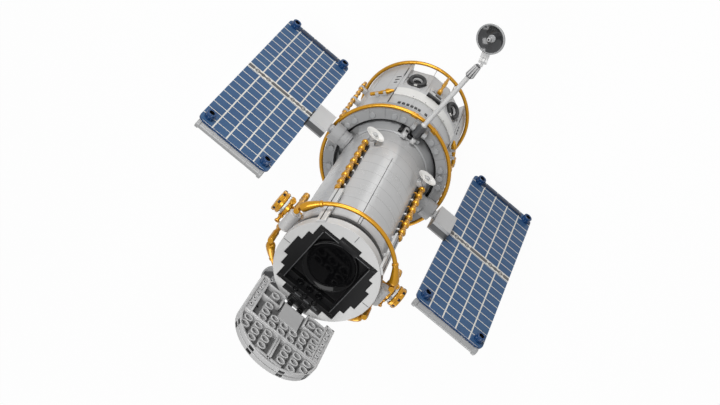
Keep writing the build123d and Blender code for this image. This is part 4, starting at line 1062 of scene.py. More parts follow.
@dataclass
class EquipmentDeck:
    """Wide equipment section: studded deck, gold ring and array hubs."""
    top: float = 134.0
    stud_radius: float = 45.6
    hose_radius: float = 52.5
    hose_z: float = 132.0
    stud_angles: tuple[float, ...] = (22.5, 32.5, 62.0, 72.0, 108.0, 118.0, 140.0, 160.0, 169.0)
    lone_angle: float = 41.0
    clamp_angles: tuple[float, ...] = (79.0, 101.0, 259.0, 281.0)
    clamp_shifts: tuple[float, float] = (-1.5, 1.5)
    clamp_radius: float = 2.1
    clamp: Point = (3.0, 5.0, 4.4)
    hub_x: float = 36.2
    hub_z: float = 140.0
    hub_radius: float = 6.5
    hub_rings: Profile = ((0.6, 7.3), (6.4, 7.1), (12.4, 7.4))
    hub_tip: Profile = ((3.6, 15.2), (3.6, 16.6), (3.2, 17.0), (2.2, 17.0))
    skirt: Profile = ((35.4, 142.0), (36.6, 141.6), (39.6, 133.0), (39.6, 130.2), (35.4, 130.2))
    skirt_starts: tuple[float, float] = (20.0, 200.0)
    skirt_sweep: float = 140.0
    gap_shadow: Profile = ((39.7, 130.3), (41.9, 130.3))

    def build(self) -> None:
        """Make and dress every piece of the deck."""
        # The deck's darker grey is painted shade.
        dress("shaded_deck_grey", "equipment_section")
        # The hubs' darker grey is partly painted shade.
        dress("hub_shade_grey", "array_hub_left", "array_hub_right")
        hose_ring("equipment_hose_ring", "equipment_hose", self.hose_radius, self.hose_z)
        self.fittings()
        self.tube_skirt()

    def fittings(self) -> None:
        """Studs of the deck, clamps of the hose and rings of the hubs."""
        deck = Stock("mid_grey", "gold", "hub_shade_grey")
        r = self.stud_radius
        for angle in (*self.stud_angles, *(-a for a in self.stud_angles), self.lone_angle, -self.lone_angle):
            turn = radians(angle)
            deck.use("mid_grey").stud(upright(r * cos(turn), r * sin(turn), self.top))
        for angle in self.clamp_angles:
            for shift in self.clamp_shifts:
                here = arc(self.hose_radius, self.hose_z, angle + shift - 1, angle + shift + 1, 2)
                deck.use("gold").pipe(here, self.clamp_radius, 14)
            deck.block(spoke(angle, self.hose_radius - 0.6, self.hose_z), self.clamp, 0.4)
        for sign in (-1, 1):
            hub = axes((sign * self.hub_x, 0, self.hub_z), (sign, 0, 0), (0, 1, 0))
            for start, reach in self.hub_rings:
                ring = [(self.hub_radius, start), (reach, start + 0.2), (reach, start + 1.8),
                        (self.hub_radius, start + 2.0)]
                deck.use("hub_shade_grey").turned(hub, ring, 40)
            deck.turned(hub, self.hub_tip, 32)
        deck.build("deck_studs", BODY, Slot.LIGHT)

    def tube_skirt(self) -> None:
        """Sloped grey skirt between the tube's foot and the deck, over a black ring of painted shadow in the
        gap.
        """
        skirt = Stock("mid_grey", "black")
        for start in self.skirt_starts:
            skirt.use("mid_grey").turned(CENTRE, self.skirt, 96, start, self.skirt_sweep)
        # Black ring in the gap between tube and deck: painted shadow.
        skirt.use("black").turned(CENTRE, self.gap_shadow, 96)
        skirt.build("tube_skirt", BODY, Slot.LIGHT)


@dataclass
class TubeRails:
    """Light shield tube with its bead rails, flat rails and small dishes."""
    radius: float = 35.2
    rail_angle: float = 46.8
    rail_radius: float = 38.6
    start: float = 176.0
    pitch: float = 13.0
    beads: int = 7
    bead: Profile = ((1.6, 0.2), (2.5, 0.5), (2.7, 1.0), (2.7, 2.2), (2.4, 2.7), (1.6, 3.4), (1.5, 6.2),
                     (1.7, 8.4), (2.1, 9.4), (2.2, 11.0), (1.8, 12.2))
    bead_block_turn: float = 4.0
    bead_block: Point = (8.6, 1.7, 1.7)
    bead_bit: Point = (1.8, 1.5, 1.9)
    bead_base: Point = (9.0, 3.0, 1.2)
    flat_angle: float = 43.0
    line_radius: float = 38.85
    line_z: float = 293.7
    line: Point = (52.0, 0.7, 0.3)
    line_and_highlight_shifts: tuple[tuple[float, str], ...] = ((0.6, "black"), (-2.8, "white"))
    left_seams_and_boom_shadow: tuple[Point, ...] = ((98.8, 186.0, 302.6), (95.4, 286.0, 302.6))
    rear_seams: Profile = ((176.0, 222.0), (232.0, 286.0))
    rear_seam_angle: float = 38.0
    rear_knob_angle: float = 31.0
    dish_angle: float = 37.0
    dish_reach: float = 43.0
    dish_z: float = 171.0
    dish: Profile = ((0, -2.6), (2.4, -2.6), (2.6, -2.2), (5.4, -1.2), (7.6, -0.4), (8.0, 0.0), (7.9, 0.25),
                     (7.3, 0.15), (4.6, -0.7), (3.6, -0.9), (3.6, -0.5), (3.1, -0.4), (3.1, -1.0), (0, -1.1))
    dish_base_turn: float = 5.0
    dish_base: Point = (8.0, 6.4, 3.6)

    def build(self) -> None:
        """Make and dress every piece of the tube."""
        dress("tube_grey", "light_shield_tube")
        dress("dark_grey", "groove_ring")
        dress("pale_grey", "flat_rail_left", "flat_rail_right")
        for side in Side:
            self.bead_rail(side)
            self.small_dish(side)
            self.rail_line(side)

    def bead_rail(self, side: Side) -> None:
        """Chain of turned gold beads over black blocks.

        Args:
            side: side of the tube.
        """
        angle = 90 - side.value * self.rail_angle
        chain = Stock("gold", "black", "white")
        base = spoke(angle, self.rail_radius, 0).translation
        profile: list[tuple[float, float]] = [(0, 0), (1.7, 0)]
        for k in range(self.beads):
            profile += [(radius, k * self.pitch + rise) for radius, rise in self.bead]
        end = self.beads * self.pitch
        chain.use("gold").turned(upright(base.x, base.y, self.start), [*profile, (1.7, end), (0, end)], 24)
        inner = angle + side.value * self.bead_block_turn
        for k in range(self.beads):
            z = self.start + (k + 0.55) * self.pitch
            chain.use("black").block(spoke(inner, self.radius + 0.7, z), self.bead_block, 0.2)
            bit = "white" if k % 2 else "gold"
            chain.use(bit).block(spoke(inner, self.radius + 0.8, z + self.pitch / 2), self.bead_bit, 0.3)
            chain.use("black").block(spoke(angle, self.radius + 0.4, z), self.bead_base, 0.2)
        chain.build(f"bead_chain_{side.word}", BODY, Slot.GOLD, [f"bead_rail_{side.word}"])

    def rail_line(self, side: Side) -> None:
        """Lines beside the flat white rail, with a white one that paints the rail's highlight, and the seams
        and knobs of the tube, whose black lines on the left are partly the boom's painted shadow.

        Args:
            side: side of the tube.
        """
        rail = spoke(90 - side.value * self.flat_angle, self.line_radius, self.line_z)
        line = Stock("black", "white")
        # The white line along the flat rail is a painted highlight; the black one is a dark line beside it.
        for shift, finish in self.line_and_highlight_shifts:
            line.use(finish).block(raised(rail, 0, side.value * shift, 0), self.line, 0.1)
        if side is Side.LEFT:
            # Black lines on the left of the tube: partly tile seams, partly painted shadow of the boom.
            for angle, low, high in self.left_seams_and_boom_shadow:
                seam = spoke(angle, self.radius, (low + high) / 2)
                line.use("black").block(seam, (high - low, 0.45, 0.3), 0.08)
        for low, high in self.rear_seams:
            seam = spoke(-90 + side.value * self.rear_seam_angle, self.radius + 0.05, (low + high) / 2)
            line.block(seam, (high - low, 0.5, 0.2), 0.08)
            for shift in (-0.5, 0.5):
                z = (low + high) / 2 + shift * (high - low - 8)
                knob = spoke(-90 + side.value * self.rear_knob_angle, self.radius, z)
                line.use("white").stud(knob, 1.5, 1.0)
            line.use("black")
        line.build(f"rail_line_{side.word}", BODY, Slot.BLACK)

    def small_dish(self, side: Side) -> None:
        """Small white dish on a grey bracket.

        Args:
            side: side of the tube.
        """
        turn = radians(90 - side.value * self.dish_angle)
        x, y = self.dish_reach * cos(turn), self.dish_reach * sin(turn)
        place = axes((x, y, self.dish_z), (0, 1, 0), RIGHT)
        dish = Stock("white", "light_grey")
        dish.use("white").turned(place, self.dish, 48)
        dish.use("light_grey").stud(raised(place, 0, 0, -1.0), 2.0, 1.9)
        foot = sqrt(self.radius ** 2 - x ** 2)
        dish.rod((x, foot - 0.3, self.dish_z), (x, y - 2.5, self.dish_z), 2.3)
        base = 90 - side.value * (self.dish_angle + self.dish_base_turn)
        dish.block(spoke(base, self.radius + 1.6, self.dish_z + 1.0), self.dish_base, 0.4)
        dish.build(f"white_dish_{side.word}", BODY, Slot.WHITE, [f"small_dish_{side.word}"])


@dataclass
class FrontEnd:
    """Collar, stepped black frame, mirror well, hose arches and drums."""
    hose_radius: float = 44.0
    hose_z: float = 306.0
    sag: float = 20.0
    pivot_angle: float = 20.0
    arch_half: float = 46.0
    fitting_start: float = 45.0
    top_tip: float = 66.6
    bottom_tip: float = 65.3
    fitting: Profile = ((0.0, 1.7), (0.02, 2.3), (0.1, 2.4), (0.13, 2.0), (0.3, 2.4), (0.6, 3.1), (0.82, 3.4),
                        (0.93, 3.0), (0.98, 1.9), (1.0, 0.6))
    mirror_radius: float = 19.3
    mirror_z: float = 308.0
    mirror_rim: Profile = ((0.0, 0.0), (0.0, 3.0), (0.3, 3.3), (0.8, 3.3), (1.0, 2.9))
    mirror_bowl: Profile = ((1.0, 2.9), (2.2, 2.2), (4.0, 1.75), (6.0, 1.6))
    peg_x: tuple[float, ...] = (-8.0, 0.0, 8.0)
    inner_row: tuple[float, float] = (-21.2, 313.5)
    inner_peg: PegSize = (2.9, 1.4, 1.4, 1.2)
    outer_row: tuple[float, float] = (-24.6, 319.8)
    outer_peg: PegSize = (2.3, 1.2, 0.5, 0.4)
    corners: Profile = ((-21.7, -24.2), (21.7, -24.2), (-21.7, 24.2), (21.7, 24.2))
    corner_z: float = 319.9
    corner_peg: PegSize = (1.6, 0.8, 0.4, 0.35)
    sill: tuple[Brick, ...] = (
        Brick("black", (0.0, -28.0, 318.6), (31.4, 4.8, 3.0), 0.2),
        Brick("black", (0.0, 24.6, 319.6), (15.0, 4.2, 1.6)),
        *(Brick("dark_grey", (x, -27.6, 320.15), (4.6, 1.0, 0.3), 0.1) for x in (-4.2, 3.3, 10.3)))
    sill_studs: tuple[Point, ...] = ((-4.0, -29.4, 319.9), (4.0, -29.4, 319.9))
    face_lines: tuple[Brick, ...] = (
        Brick("dark_grey", (0.0, 23.3, 320.0), (38.0, 0.6, 0.5), 0.12),
        Brick("dark_grey", (-19.8, 0.0, 320.0), (0.6, 45.0, 0.5), 0.12),
        Brick("dark_grey", (19.8, 0.0, 320.0), (0.6, 45.0, 0.5), 0.12))
    collar_lines: tuple[Brick, ...] = tuple(
        Brick("dark_grey", (angle, 33.9, 320.0), (0.2, 0.45, 5.2), 0.05) for angle in (0.0, 90.0, 180.0))
    drum_place: Point = (39.8, -8.0, 297.0)
    drum: Profile = ((0, 0), (2.6, 0), (2.6, 0.5), (4.0, 0.5), (4.4, 0.9), (4.4, 7.8), (4.25, 7.9),
                     (4.25, 8.1), (4.4, 8.2), (4.4, 15.1), (4.0, 15.5), (2.6, 15.5), (2.6, 16.0), (0, 16.0))

    def build(self) -> None:
        """Make and dress every piece of the front."""
        dress("pale_grey", "front_collar")
        dress("black", "aperture_frame", "aperture_well")
        self.mirror()
        self.hoses()
        self.ledge()
        self.drums()

    def drums(self) -> None:
        """Grey drums lying beside the collar."""
        drums = Stock("light_grey")
        x, y, z = self.drum_place
        for sign in (-1, 1):
            drums.turned(axes((sign * x, y, z), (0, 1, 0), RIGHT), self.drum, 40)
        drums.build("grey_drums", BODY, Slot.LIGHT, ["collar_drums"])

    def mirror(self) -> None:
        """Gloss black mirror with a raised rim."""
        dish = Stock("black_gloss", "black")
        r, z = self.mirror_radius, self.mirror_z
        rim = [(r - inset, z + rise) for inset, rise in self.mirror_rim]
        bowl = [(r - inset, z + rise) for inset, rise in self.mirror_bowl]
        dish.use("black").turned(CENTRE, rim, 96)
        dish.use("black_gloss").turned(CENTRE, [*bowl, (0, bowl[-1][1])], 96)
        dish.build("black_mirror", BODY, Slot.GLOSS, ["mirror_dish"])

    def ledge(self) -> None:
        """Round pegs and slots on the ledge inside the frame."""
        ledge = Stock("black", "dark_grey", "black_gloss")
        for x in self.peg_x:
            ledge.use("black_gloss").tube(upright(x, *self.inner_row), *self.inner_peg)
            ledge.tube(upright(x, *self.outer_row), *self.outer_peg)
        ledge.bricks(self.sill, upright)
        ledge.use("black")
        for place in self.sill_studs:
            ledge.stud(upright(*place), 1.1, 0.45)
        for x, y in self.corners:
            ledge.tube(upright(x, y, self.corner_z), *self.corner_peg)
        ledge.bricks(self.face_lines, upright)
        ledge.bricks(self.collar_lines, spoke)
        ledge.build("ledge_pegs", BODY, Slot.BLACK)

    def hoses(self) -> None:
        """Gold hose arches, the lower one sagging aft, and the thick fittings at their ends."""
        arches, ends = Stock("gold"), Stock("gold")
        r, z, start = self.hose_radius, self.hose_z, self.fitting_start
        pivot = Matrix.Translation((0, -r * sin(radians(self.pivot_angle)), z))
        sag = pivot @ Matrix.Rotation(radians(self.sag), 4, "X") @ pivot.inverted()
        for middle, tip, lie in ((90, self.top_tip, CENTRE), (270, self.bottom_tip, sag)):
            arch = arc(r, z, middle - self.arch_half, middle + self.arch_half, 72)
            arches.pipe([lie @ v for v in arch], HOSE_RADIUS, HOSE_SIDES)
            for sign in (-1, 1):
                turns = [middle + sign * (start + (tip - start) * share) for share, _ in self.fitting]
                line = [lie @ arc(r, z, a, a, 1)[0] for a in turns]
                ends.pipe(line, [size for _, size in self.fitting], 20)
        arches.build("hose_arches", BODY, Slot.GOLD, ["front_hose"])
        ends.build("hose_end_fittings", BODY, Slot.GOLD, ["hose_fittings"])


@dataclass
class ValveCluster:
    """Gold valve stack beside the collar."""
    side: Side
    tube: float = 35.2
    z: float = 284.0
    stand: float = 9.0
    drum: Profile = ((3.0, 0.0), (5.9, 0.0), (6.4, 0.5), (6.4, 2.8), (6.0, 3.2), (0, 3.2))
    plate: Profile = ((0, 3.25), (7.0, 3.25), (7.2, 3.5), (7.2, 5.0), (7.0, 5.15), (0, 5.15))
    wheel: Profile = ((4.0, 5.3), (7.5, 5.3), (8.0, 5.8), (8.0, 7.2), (7.6, 7.4), (7.6, 8.0), (8.0, 8.2),
                      (8.0, 10.3), (7.5, 10.8), (4.6, 10.8), (4.2, 10.4), (4.2, 6.2), (4.0, 5.3))
    core: Profile = ((2.5, 5.2), (2.5, 8.8), (2.1, 9.2), (0, 9.2))
    notches: int = 8
    notch_reach: float = 7.85
    notch_rise: float = 9.2
    notch: Point = (0.6, 2.2, 1.8)
    hose_radius: float = 44.0
    elbow_angle: float = 20.0
    elbow_drop: float = 2.4
    elbow: Profile = ((0, 0), (2.0, 0), (2.4, 0.4), (2.4, 5.0), (1.7, 5.6), (1.7, 13.0), (2.3, 13.6),
                      (2.3, 20.6), (2.4, 24.4), (2.0, 27.0), (0, 27.2))
    elbow_tap_share: float = 0.62
    tap_x: float = 46.0
    taps: tuple[tuple[float, float, Point], ...] = (
        (5.6, 1.0, (0, 0.6, 0.8)), (-5.6, 1.0, (0, -0.6, 0.8)), (0.0, -6.0, (0, 0, -1)))
    nozzle: Profile = ((1.6, -1.5), (1.6, 1.6), (2.0, 2.0), (2.0, 3.0), (1.2, 3.6), (1.2, 6.0), (1.9, 6.6),
                       (1.9, 7.6), (1.1, 7.6), (1.1, 6.8), (0, 6.8))
    handle_rise: float = 2.5
    handle_half: float = 3.0
    handle_radius: float = 0.75

    def stacked(self, profile: Profile) -> Profile:
        """Profile whose heights count from the stand."""
        return [(radius, self.stand + rise) for radius, rise in profile]

    def build(self) -> None:
        """Make the stack, its clear plate, taps and elbows."""
        sign = self.side.value
        stack = Stock("gold", "clear", "black")
        lie = axes((sign * self.tube, 0, self.z), (sign, 0, 0), UP)
        stack.use("gold").turned(lie, [(3.0, 0.3), *self.stacked(self.drum)], 36)
        stack.use("clear").turned(lie, self.stacked(self.plate), 40)
        stack.use("gold").turned(lie, self.stacked(self.wheel), 44)
        stack.turned(lie, self.stacked(self.core), 24)
        for k in range(self.notches):
            turn = lie @ Matrix.Rotation(radians(45 * k + 22.5), 4, "Z")
            place = raised(turn, self.notch_reach, 0, self.stand + self.notch_rise)
            stack.use("black").block(place, self.notch, 0.1)
        turn = radians(self.elbow_angle)
        x, reach = self.hose_radius * cos(turn) * sign, self.hose_radius * sin(turn)
        stack.use("gold")
        for y in (-reach, reach):
            stack.turned(upright(x, y, self.z - self.elbow_drop), self.elbow, 24)
            self.tap(stack, (x, y * self.elbow_tap_share, self.z), (0, 0, -1))
        stack.rod((x, -reach, self.z), (x, reach, self.z), HOSE_RADIUS)
        for y, rise, along in self.taps:
            self.tap(stack, (sign * self.tap_x, y, self.z + rise), along)
        word = self.side.word
        stack.build(f"valve_stack_{word}", BODY, Slot.GOLD, [f"valve_cluster_{word}"])

    def tap(self, stock: Stock, root: Point, along: Point) -> None:
        """Small nozzle with a flared lip and a cross handle.

        Args:
            stock: mesh that it goes into.
            root: start of the nozzle.
            along: direction that it points.
        """
        place = axes(root, along, RIGHT)
        stock.turned(place, self.nozzle, 18)
        centre = place @ Vector((0, 0, self.handle_rise))
        cross = place.to_3x3() @ Vector((0, 1, 0)) * self.handle_half
        stock.rod(centre - cross, centre + cross, self.handle_radius, 12, 0.2)


@dataclass
class SolarArray:
    """Turning solar array: printed sheet, hollow posts, roller and yoke."""
    side: Side
    arm_z: float = 140.0
    turn: float = 8.2
    start: float = 71.2
    width: float = 64.0
    length: float = 192.0
    drop: float = 4.5
    sheet: float = 1.6
    corner: float = 5.0
    corner_steps: int = 8
    strip_half: float = 3.5
    strip_lift: tuple[float, float] = (0.02, 0.3)
    inset: float = 6.0
    post_shift: float = 1.2
    post: Profile = ((3.5, 0), (3.5, 2.2), (3.8, 2.5), (3.8, 5.1), (3.5, 5.4), (2.5, 5.4), (2.2, 5.1))
    bore_shade: Profile = ((2.2, 5.1), (2.1, 1.0), (0, 1.0))
    post_ribs: int = 8
    post_rib: Point = (0.7, 1.0, 2.8)
    tie_shift: float = 1.0
    tie_cuts: tuple[float, ...] = (-14.0, 0.0, 14.0)
    tie_cut: Point = (0.5, 3.6, 0.2)
    gap_shadow_line: Point = (1.2, 25.0, 0.4)
    batten_x: tuple[float, float] = (-16.0, 16.0)
    batten_y: tuple[float, ...] = (-64.0, -32.0, 32.0, 64.0)
    back_stud_x: tuple[float, ...] = (-24.0, -8.0, 8.0, 24.0)
    roller_span: float = 60.8
    roller_drop: float = 3.1
    roller_end: Profile = ((0, 0), (3.0, 0), (3.5, 0.5), (3.5, 2.6), (3.0, 3.1), (2.8, 3.3))
    roller_cuts: tuple[float, ...] = (15.0, 30.4, 46.0)
    roller_foot: Point = (4.0, 4.0, 3.2)

    @property
    def body(self) -> str:
        """CAD body of this array."""
        return f"array_{self.side.word}"

    @property
    def top(self) -> float:
        """Lift of the sheet's printed face."""
        return self.sheet - self.drop

    def place(self, x: float, y: float, lift: float) -> Matrix:
        """Place on the panel.

        Args:
            x: distance along the arm from the panel's middle.
            y: distance aft.
            lift: height above the arm's axis.

        Returns:
            The matrix, its local z out of the printed face.
        """
        turn = radians(self.turn)
        up, aft = Vector((0, cos(turn), sin(turn))), Vector((0, sin(turn), -cos(turn)))
        middle = self.side.value * (self.start + self.width / 2)
        return axes(Vector((middle + x, 0, self.arm_z)) + aft * y + up * lift, up, RIGHT)

    def build(self) -> None:
        """Make and dress every piece of the array."""
        dress("light_grey", f"{self.body}_yoke")
        dress("dark_grey", f"{self.body}_cheek")
        self.panel()
        self.posts()
        self.roller()

    def flat_piece(self, name: str, outline: Profile, low: float, high: float, finish: str,
                   node: str) -> None:
        """Thin printed plate with its layout in a UV map of millimetres.

        Args:
            name: name of the piece.
            outline: corner points on the panel.
            low: height of its back.
            high: height of its printed face.
            finish: finish of the printed face.
            node: CAD node that it stands for.
        """
        stock = Stock(finish, "navy")
        layer = stock.mesh.loops.layers.uv.new(SHEET_MAP)
        base = self.place(0, 0, low)
        stock.use("navy").slab(base, outline, high - low)
        normal, inverse = base.to_3x3() @ Vector(UP), base.inverted()
        stock.mesh.normal_update()
        for face in stock.mesh.faces:
            if face.normal.dot(normal) > 0.9:
                face.material_index = 0
            for loop in face.loops:
                flat = inverse @ loop.vert.co
                loop[layer].uv = (flat.x, flat.y)
        stock.build(name, self.body, FINISHES[finish].slot, [node])

    def panel(self) -> None:
        """Printed sheet and the printed strip across its middle."""
        half, corner = self.width / 2, self.corner
        outline = []
        for cx, cy, start in ((1, 1, 0), (-1, 1, 90), (-1, -1, 180), (1, -1, 270)):
            for k in range(self.corner_steps + 1):
                a = radians(start + 90 * k / self.corner_steps)
                outline.append((cx * (half - corner) + corner * cos(a),
                                cy * (self.length / 2 - corner) + corner * sin(a)))
        low, high = -self.drop, self.top
        self.flat_piece(f"{self.body}_cells", outline, low, high, "cell_sheet", f"{self.body}_panel")
        wide = self.strip_half
        strip = [(-half, -wide), (half, -wide), (half, wide), (-half, wide)]
        low, high = (self.top + lift for lift in self.strip_lift)
        self.flat_piece(f"{self.body}_strip", strip, low, high, "print_strip", f"{self.body}_bar")

    def posts(self) -> None:
        """Hollow navy posts, the strip between the aft pair, a black line of painted shadow along the inner
        edge and the battens under the sheet.
        """
        posts = Stock("navy", "black", "deep_navy")
        half, edge, top = self.width / 2, self.length / 2 - self.inset, self.top
        for x in (-1, 1):
            for y in (-1, 1):
                place = self.place(x * (half - self.inset), y * (edge - self.post_shift), top)
                posts.use("navy").turned(place, self.post, 32)
                # Black wall and floor of each post's bore: painted shade.
                posts.use("black").turned(place, self.bore_shade, 32)
                for k in range(self.post_ribs):
                    rib = raised(place @ Matrix.Rotation(radians(45 * k), 4, "Z"), 3.6, 0, 1.5)
                    posts.use("navy").block(rib, self.post_rib, 0.15)
        tie = edge + self.tie_shift
        posts.use("deep_navy").block(self.place(0, tie, top + 0.5), (self.width - 22, 4.0, 1.0), 0.2)
        # Black line along the panel's inner edge: painted shadow of the gap between the yoke and the panel.
        inboard = -self.side.value * (half - self.gap_shadow_line[0] / 2)
        posts.use("black").block(self.place(inboard, -4.0, top + 0.1), self.gap_shadow_line, 0.1)
        for x in self.tie_cuts:
            posts.block(self.place(x, tie, top + 1.05), self.tie_cut, 0.05)
        posts.use("navy")
        for x in self.batten_x:
            posts.block(self.place(x, 2.0, -self.drop - 0.4), (3.2, self.length - 24.0, 1.4), 0.3)
        for y in self.batten_y:
            posts.block(self.place(0, y, -self.drop - 0.2), (self.width - 6.0, 2.4, 1.0), 0.2)
            for x in self.back_stud_x:
                under = self.place(x, y - 8.0, -self.drop + 0.1) @ Matrix.Rotation(pi, 4, "X")
                posts.stud(under, 2.4, 1.0)
        posts.build(f"{self.body}_hollow_posts", self.body, Slot.NAVY, [f"{self.body}_posts"])

    def roller(self) -> None:
        """Grey roller under the front edge, in sections with end knobs."""
        roller = Stock("mid_grey", "hub_shade_grey")
        span, lift = self.roller_span, -self.drop - self.roller_drop
        start = self.place(-span / 2, -self.length / 2, lift).translation
        profile = [*self.roller_end]
        for cut in self.roller_cuts:
            profile += [(2.8, cut - 0.2), (2.5, cut), (2.8, cut + 0.2)]
        profile += [(radius, span - rise) for radius, rise in reversed(self.roller_end)]
        roller.use("mid_grey").turned(axes(start, RIGHT, UP), profile, 28)
        for x in (-span / 4, span / 4):
            foot = self.place(x, 2.0 - self.length / 2, lift + 1.5)
            roller.use("hub_shade_grey").block(foot, self.roller_foot, 0.3)
        roller.build(f"{self.body}_roller_bar", self.body, Slot.LIGHT, [f"{self.body}_rollers"])


@dataclass
class Antenna:
    """Folding boom with a tilting dish."""
    end: End
    y: float = 46.2
    z: float = 141.0
    cone_drop: float = 4.6
    cone: Profile = ((0, 0), (3.2, 0), (3.7, 0.5), (3.6, 3.4), (3.2, 9.6), (3.2, 10.6), (2.9, 11.0),
                     (0, 11.0))
    pin_half: float = 3.75
    pin_radius: float = 1.9
    pole_start: float = 52.6
    pole_end: float = 119.0
    pole_radius: float = 1.95
    flute_length: float = 12.0
    flute: Profile = ((1.9, 0), (2.9, 0), (3.2, 0.4), (3.2, 1.4), (2.2, 11.2), (1.8, 12.0), (0, 12.0))
    flutes: int = 8
    lug: Point = (5.0, 2.9, 2.3)
    lug_eye: Profile = ((0, 0), (2.2, 0), (2.4, 0.2), (2.4, 2.1), (2.2, 2.3), (0, 2.3))
    lug_pin: Profile = ((0, 0), (1.45, 0), (1.45, 6.4), (0, 6.4))
    tilt_y: float = 124.0
    swing: float = 20.0
    lean: float = 18.0
    neck: float = 6.6
    dish_radius: float = 11.6
    dish_drop: float = 1.5
    dish_steps: int = 10
    feed_boss: Profile = ((0, 1.25), (3.0, 1.25), (3.0, 1.9), (2.4, 2.2), (2.4, 2.8), (0, 2.8))
    feed_pin: Profile = ((1.2, 2.7), (1.2, 6.4), (1.5, 6.6), (1.5, 7.4), (1.3, 7.5), (0.8, 7.5))
    feed_bore_shade: Profile = ((0.8, 7.5), (0.8, 7.1), (0, 7.1))
    foot_clips: tuple[Brick, ...] = (
        Brick("light_grey", (-7.0, 38.0, 140.0), (3.8, 4.0, 14.0), 0.35),
        Brick("black", (-2.4, 38.4, 138.0), (3.4, 3.0, 10.0), 0.35),
        Brick("light_grey", (1.4, 38.4, 139.5), (3.6, 4.0, 13.0), 0.35),
        Brick("mid_grey", (4.8, 38.4, 137.0), (3.0, 3.0, 8.0), 0.35),
        Brick("black", (-11.2, 37.4, 137.0), (3.0, 4.0, 8.0), 0.35))
    deck_z: float = 134.0
    foot_studs: tuple[Point, ...] = ((-7.0, 38.4, 13.0), (1.4, 38.6, 12.0))
    foot_slot: Point = (2.2, 0.4, 3.4)

    def at(self, x: float, y: float, z: float) -> Vector:
        """Point of the boom, with y counted outward."""
        return Vector((x, self.end.value * y, z))

    def along(self, y: float) -> Matrix:
        """Place on the boom's line with its local z outward."""
        return axes(self.at(0, y, self.z), (0, self.end.value, 0), RIGHT)

    def tilt(self, along: float = 0.0) -> Matrix:
        """Place on the tilt axis.

        Args:
            along: distance out along the neck.

        Returns:
            The matrix: local x out along the neck, local y forward and local z along the axis.
        """
        turn, sign = radians(self.swing), self.end.value
        out = Vector((-sin(turn), sign * cos(turn), 0))
        return axes(self.at(0, self.tilt_y, self.z) + out * along, (sign * cos(turn), sin(turn), 0), out)

    def build(self) -> None:
        """Make and dress every piece of the antenna."""
        word = self.end.word
        dress("mid_grey", f"boom_foot_{word}")
        dress("pale_grey", f"dish_{word}_joint")
        self.socket()
        self.pole()
        self.dish()
        if self.end is End.TOP:
            self.clips()

    def socket(self) -> None:
        """Dark cone that folds between the lugs of the foot."""
        word, half = self.end.word, self.pin_half
        socket = Stock("dark_grey", "black")
        socket.use("dark_grey").turned(self.along(self.y - self.cone_drop), self.cone, 28)
        left, right = self.at(-half, self.y, self.z), self.at(half, self.y, self.z)
        socket.use("black").rod(left, right, self.pin_radius, 20)
        socket.build(f"boom_{word}_cone", f"boom_{word}", Slot.DARK, [f"boom_{word}_socket"])

    def pole(self) -> None:
        """Pale pole with a fluted grey cone and the lug of the tilt axis."""
        word, end = self.end.word, self.pole_end
        pole = Stock("pale_grey", "light_grey", "dark_grey")
        length = end - self.pole_start - self.flute_length + 0.2
        shaft = [(0, 0.05), (2.5, 0.05), (2.5, 1.2), (self.pole_radius, 1.6), (self.pole_radius, length)]
        pole.use("pale_grey").turned(self.along(self.pole_start), shaft, 28)
        pole.use("dark_grey").turned(self.along(end - self.flute_length), self.flute, 28)
        pole.use("light_grey")
        for k in range(self.flutes):
            turn = radians(45 * k)
            ray = Vector((cos(turn), 0, sin(turn)))
            wide = self.at(0, end - 11.2, self.z) + ray * 2.95
            narrow = self.at(0, end - 1.2, self.z) + ray * 2.0
            pole.rod(wide, narrow, 0.75, 8, 0.1)
        place = self.tilt()
        pole.use("pale_grey").block(raised(place, -self.lug[0] / 2, 0, 0), self.lug)
        pole.turned(raised(place, 0, 0, -1.15), self.lug_eye, 24)
        pole.turned(raised(place, 0, 0, -3.2), self.lug_pin, 20)
        pole.build(f"boom_{word}_mast", f"boom_{word}", Slot.LIGHT, [f"boom_{word}_pole"])

    def dish(self) -> None:
        """Dark dish with a pale rim, and its feed pin on a grey boss."""
        word, r, steps = self.end.word, self.dish_radius, self.dish_steps
        neck, lean = self.tilt(self.neck + r), radians(self.lean)
        out, up, axle = (Vector(neck.col[k][:3]) for k in range(3))
        normal = up * cos(lean) - axle * self.end.value * sin(lean)
        place = axes(neck.translation - normal * self.dish_drop, normal, out)
        dish = Stock("dish_grey", "mid_grey")
        bowl = [(r - 1.3 - (r - 3.8) * k / steps, 4.3 - 3.1 * (1 - (1 - k / steps) ** 2))
                for k in range(steps + 1)]
        back = [(r - 1.3, 4.3), (r - 0.7, 4.5), (r, 4.1), (r, 3.2), (r - 1.4, 1.9), (6.0, 0.0), (0, 0.0)]
        dish.use("dish_grey").turned(place, [*bowl, (0, 1.2)], 64)
        dish.use("mid_grey").turned(place, back, 64)
        dish.build(f"dish_{word}_bowl", f"dish_{word}", Slot.DARK, [f"dish_{word}_reflector"])
        feed = Stock("light_grey", "mid_grey", "black")
        feed.use("mid_grey").turned(place, self.feed_boss, 28)
        feed.use("light_grey").turned(place, self.feed_pin, 20)
        # Black bore at the pin's tip: painted shade.
        feed.use("black").turned(place, self.feed_bore_shade, 20)
        feed.build(f"dish_{word}_feed_pin", f"dish_{word}", Slot.LIGHT, [f"dish_{word}_feed"])

    def clips(self) -> None:
        """Cluster of grey clips and black gaps at the boom's foot."""
        clips = Stock("light_grey", "black", "mid_grey")
        clips.bricks(self.foot_clips, upright)
        for x, y, height in self.foot_studs:
            clips.use("light_grey").stud(upright(x, y, self.deck_z + height), 1.4, 1.4)
            slot = upright(x, y + 2.0, self.deck_z - 1.0 + height * 0.6)
            clips.use("black").block(slot, self.foot_slot, 0.1)
        clips.build("boom_foot_clips", BODY, Slot.LIGHT)


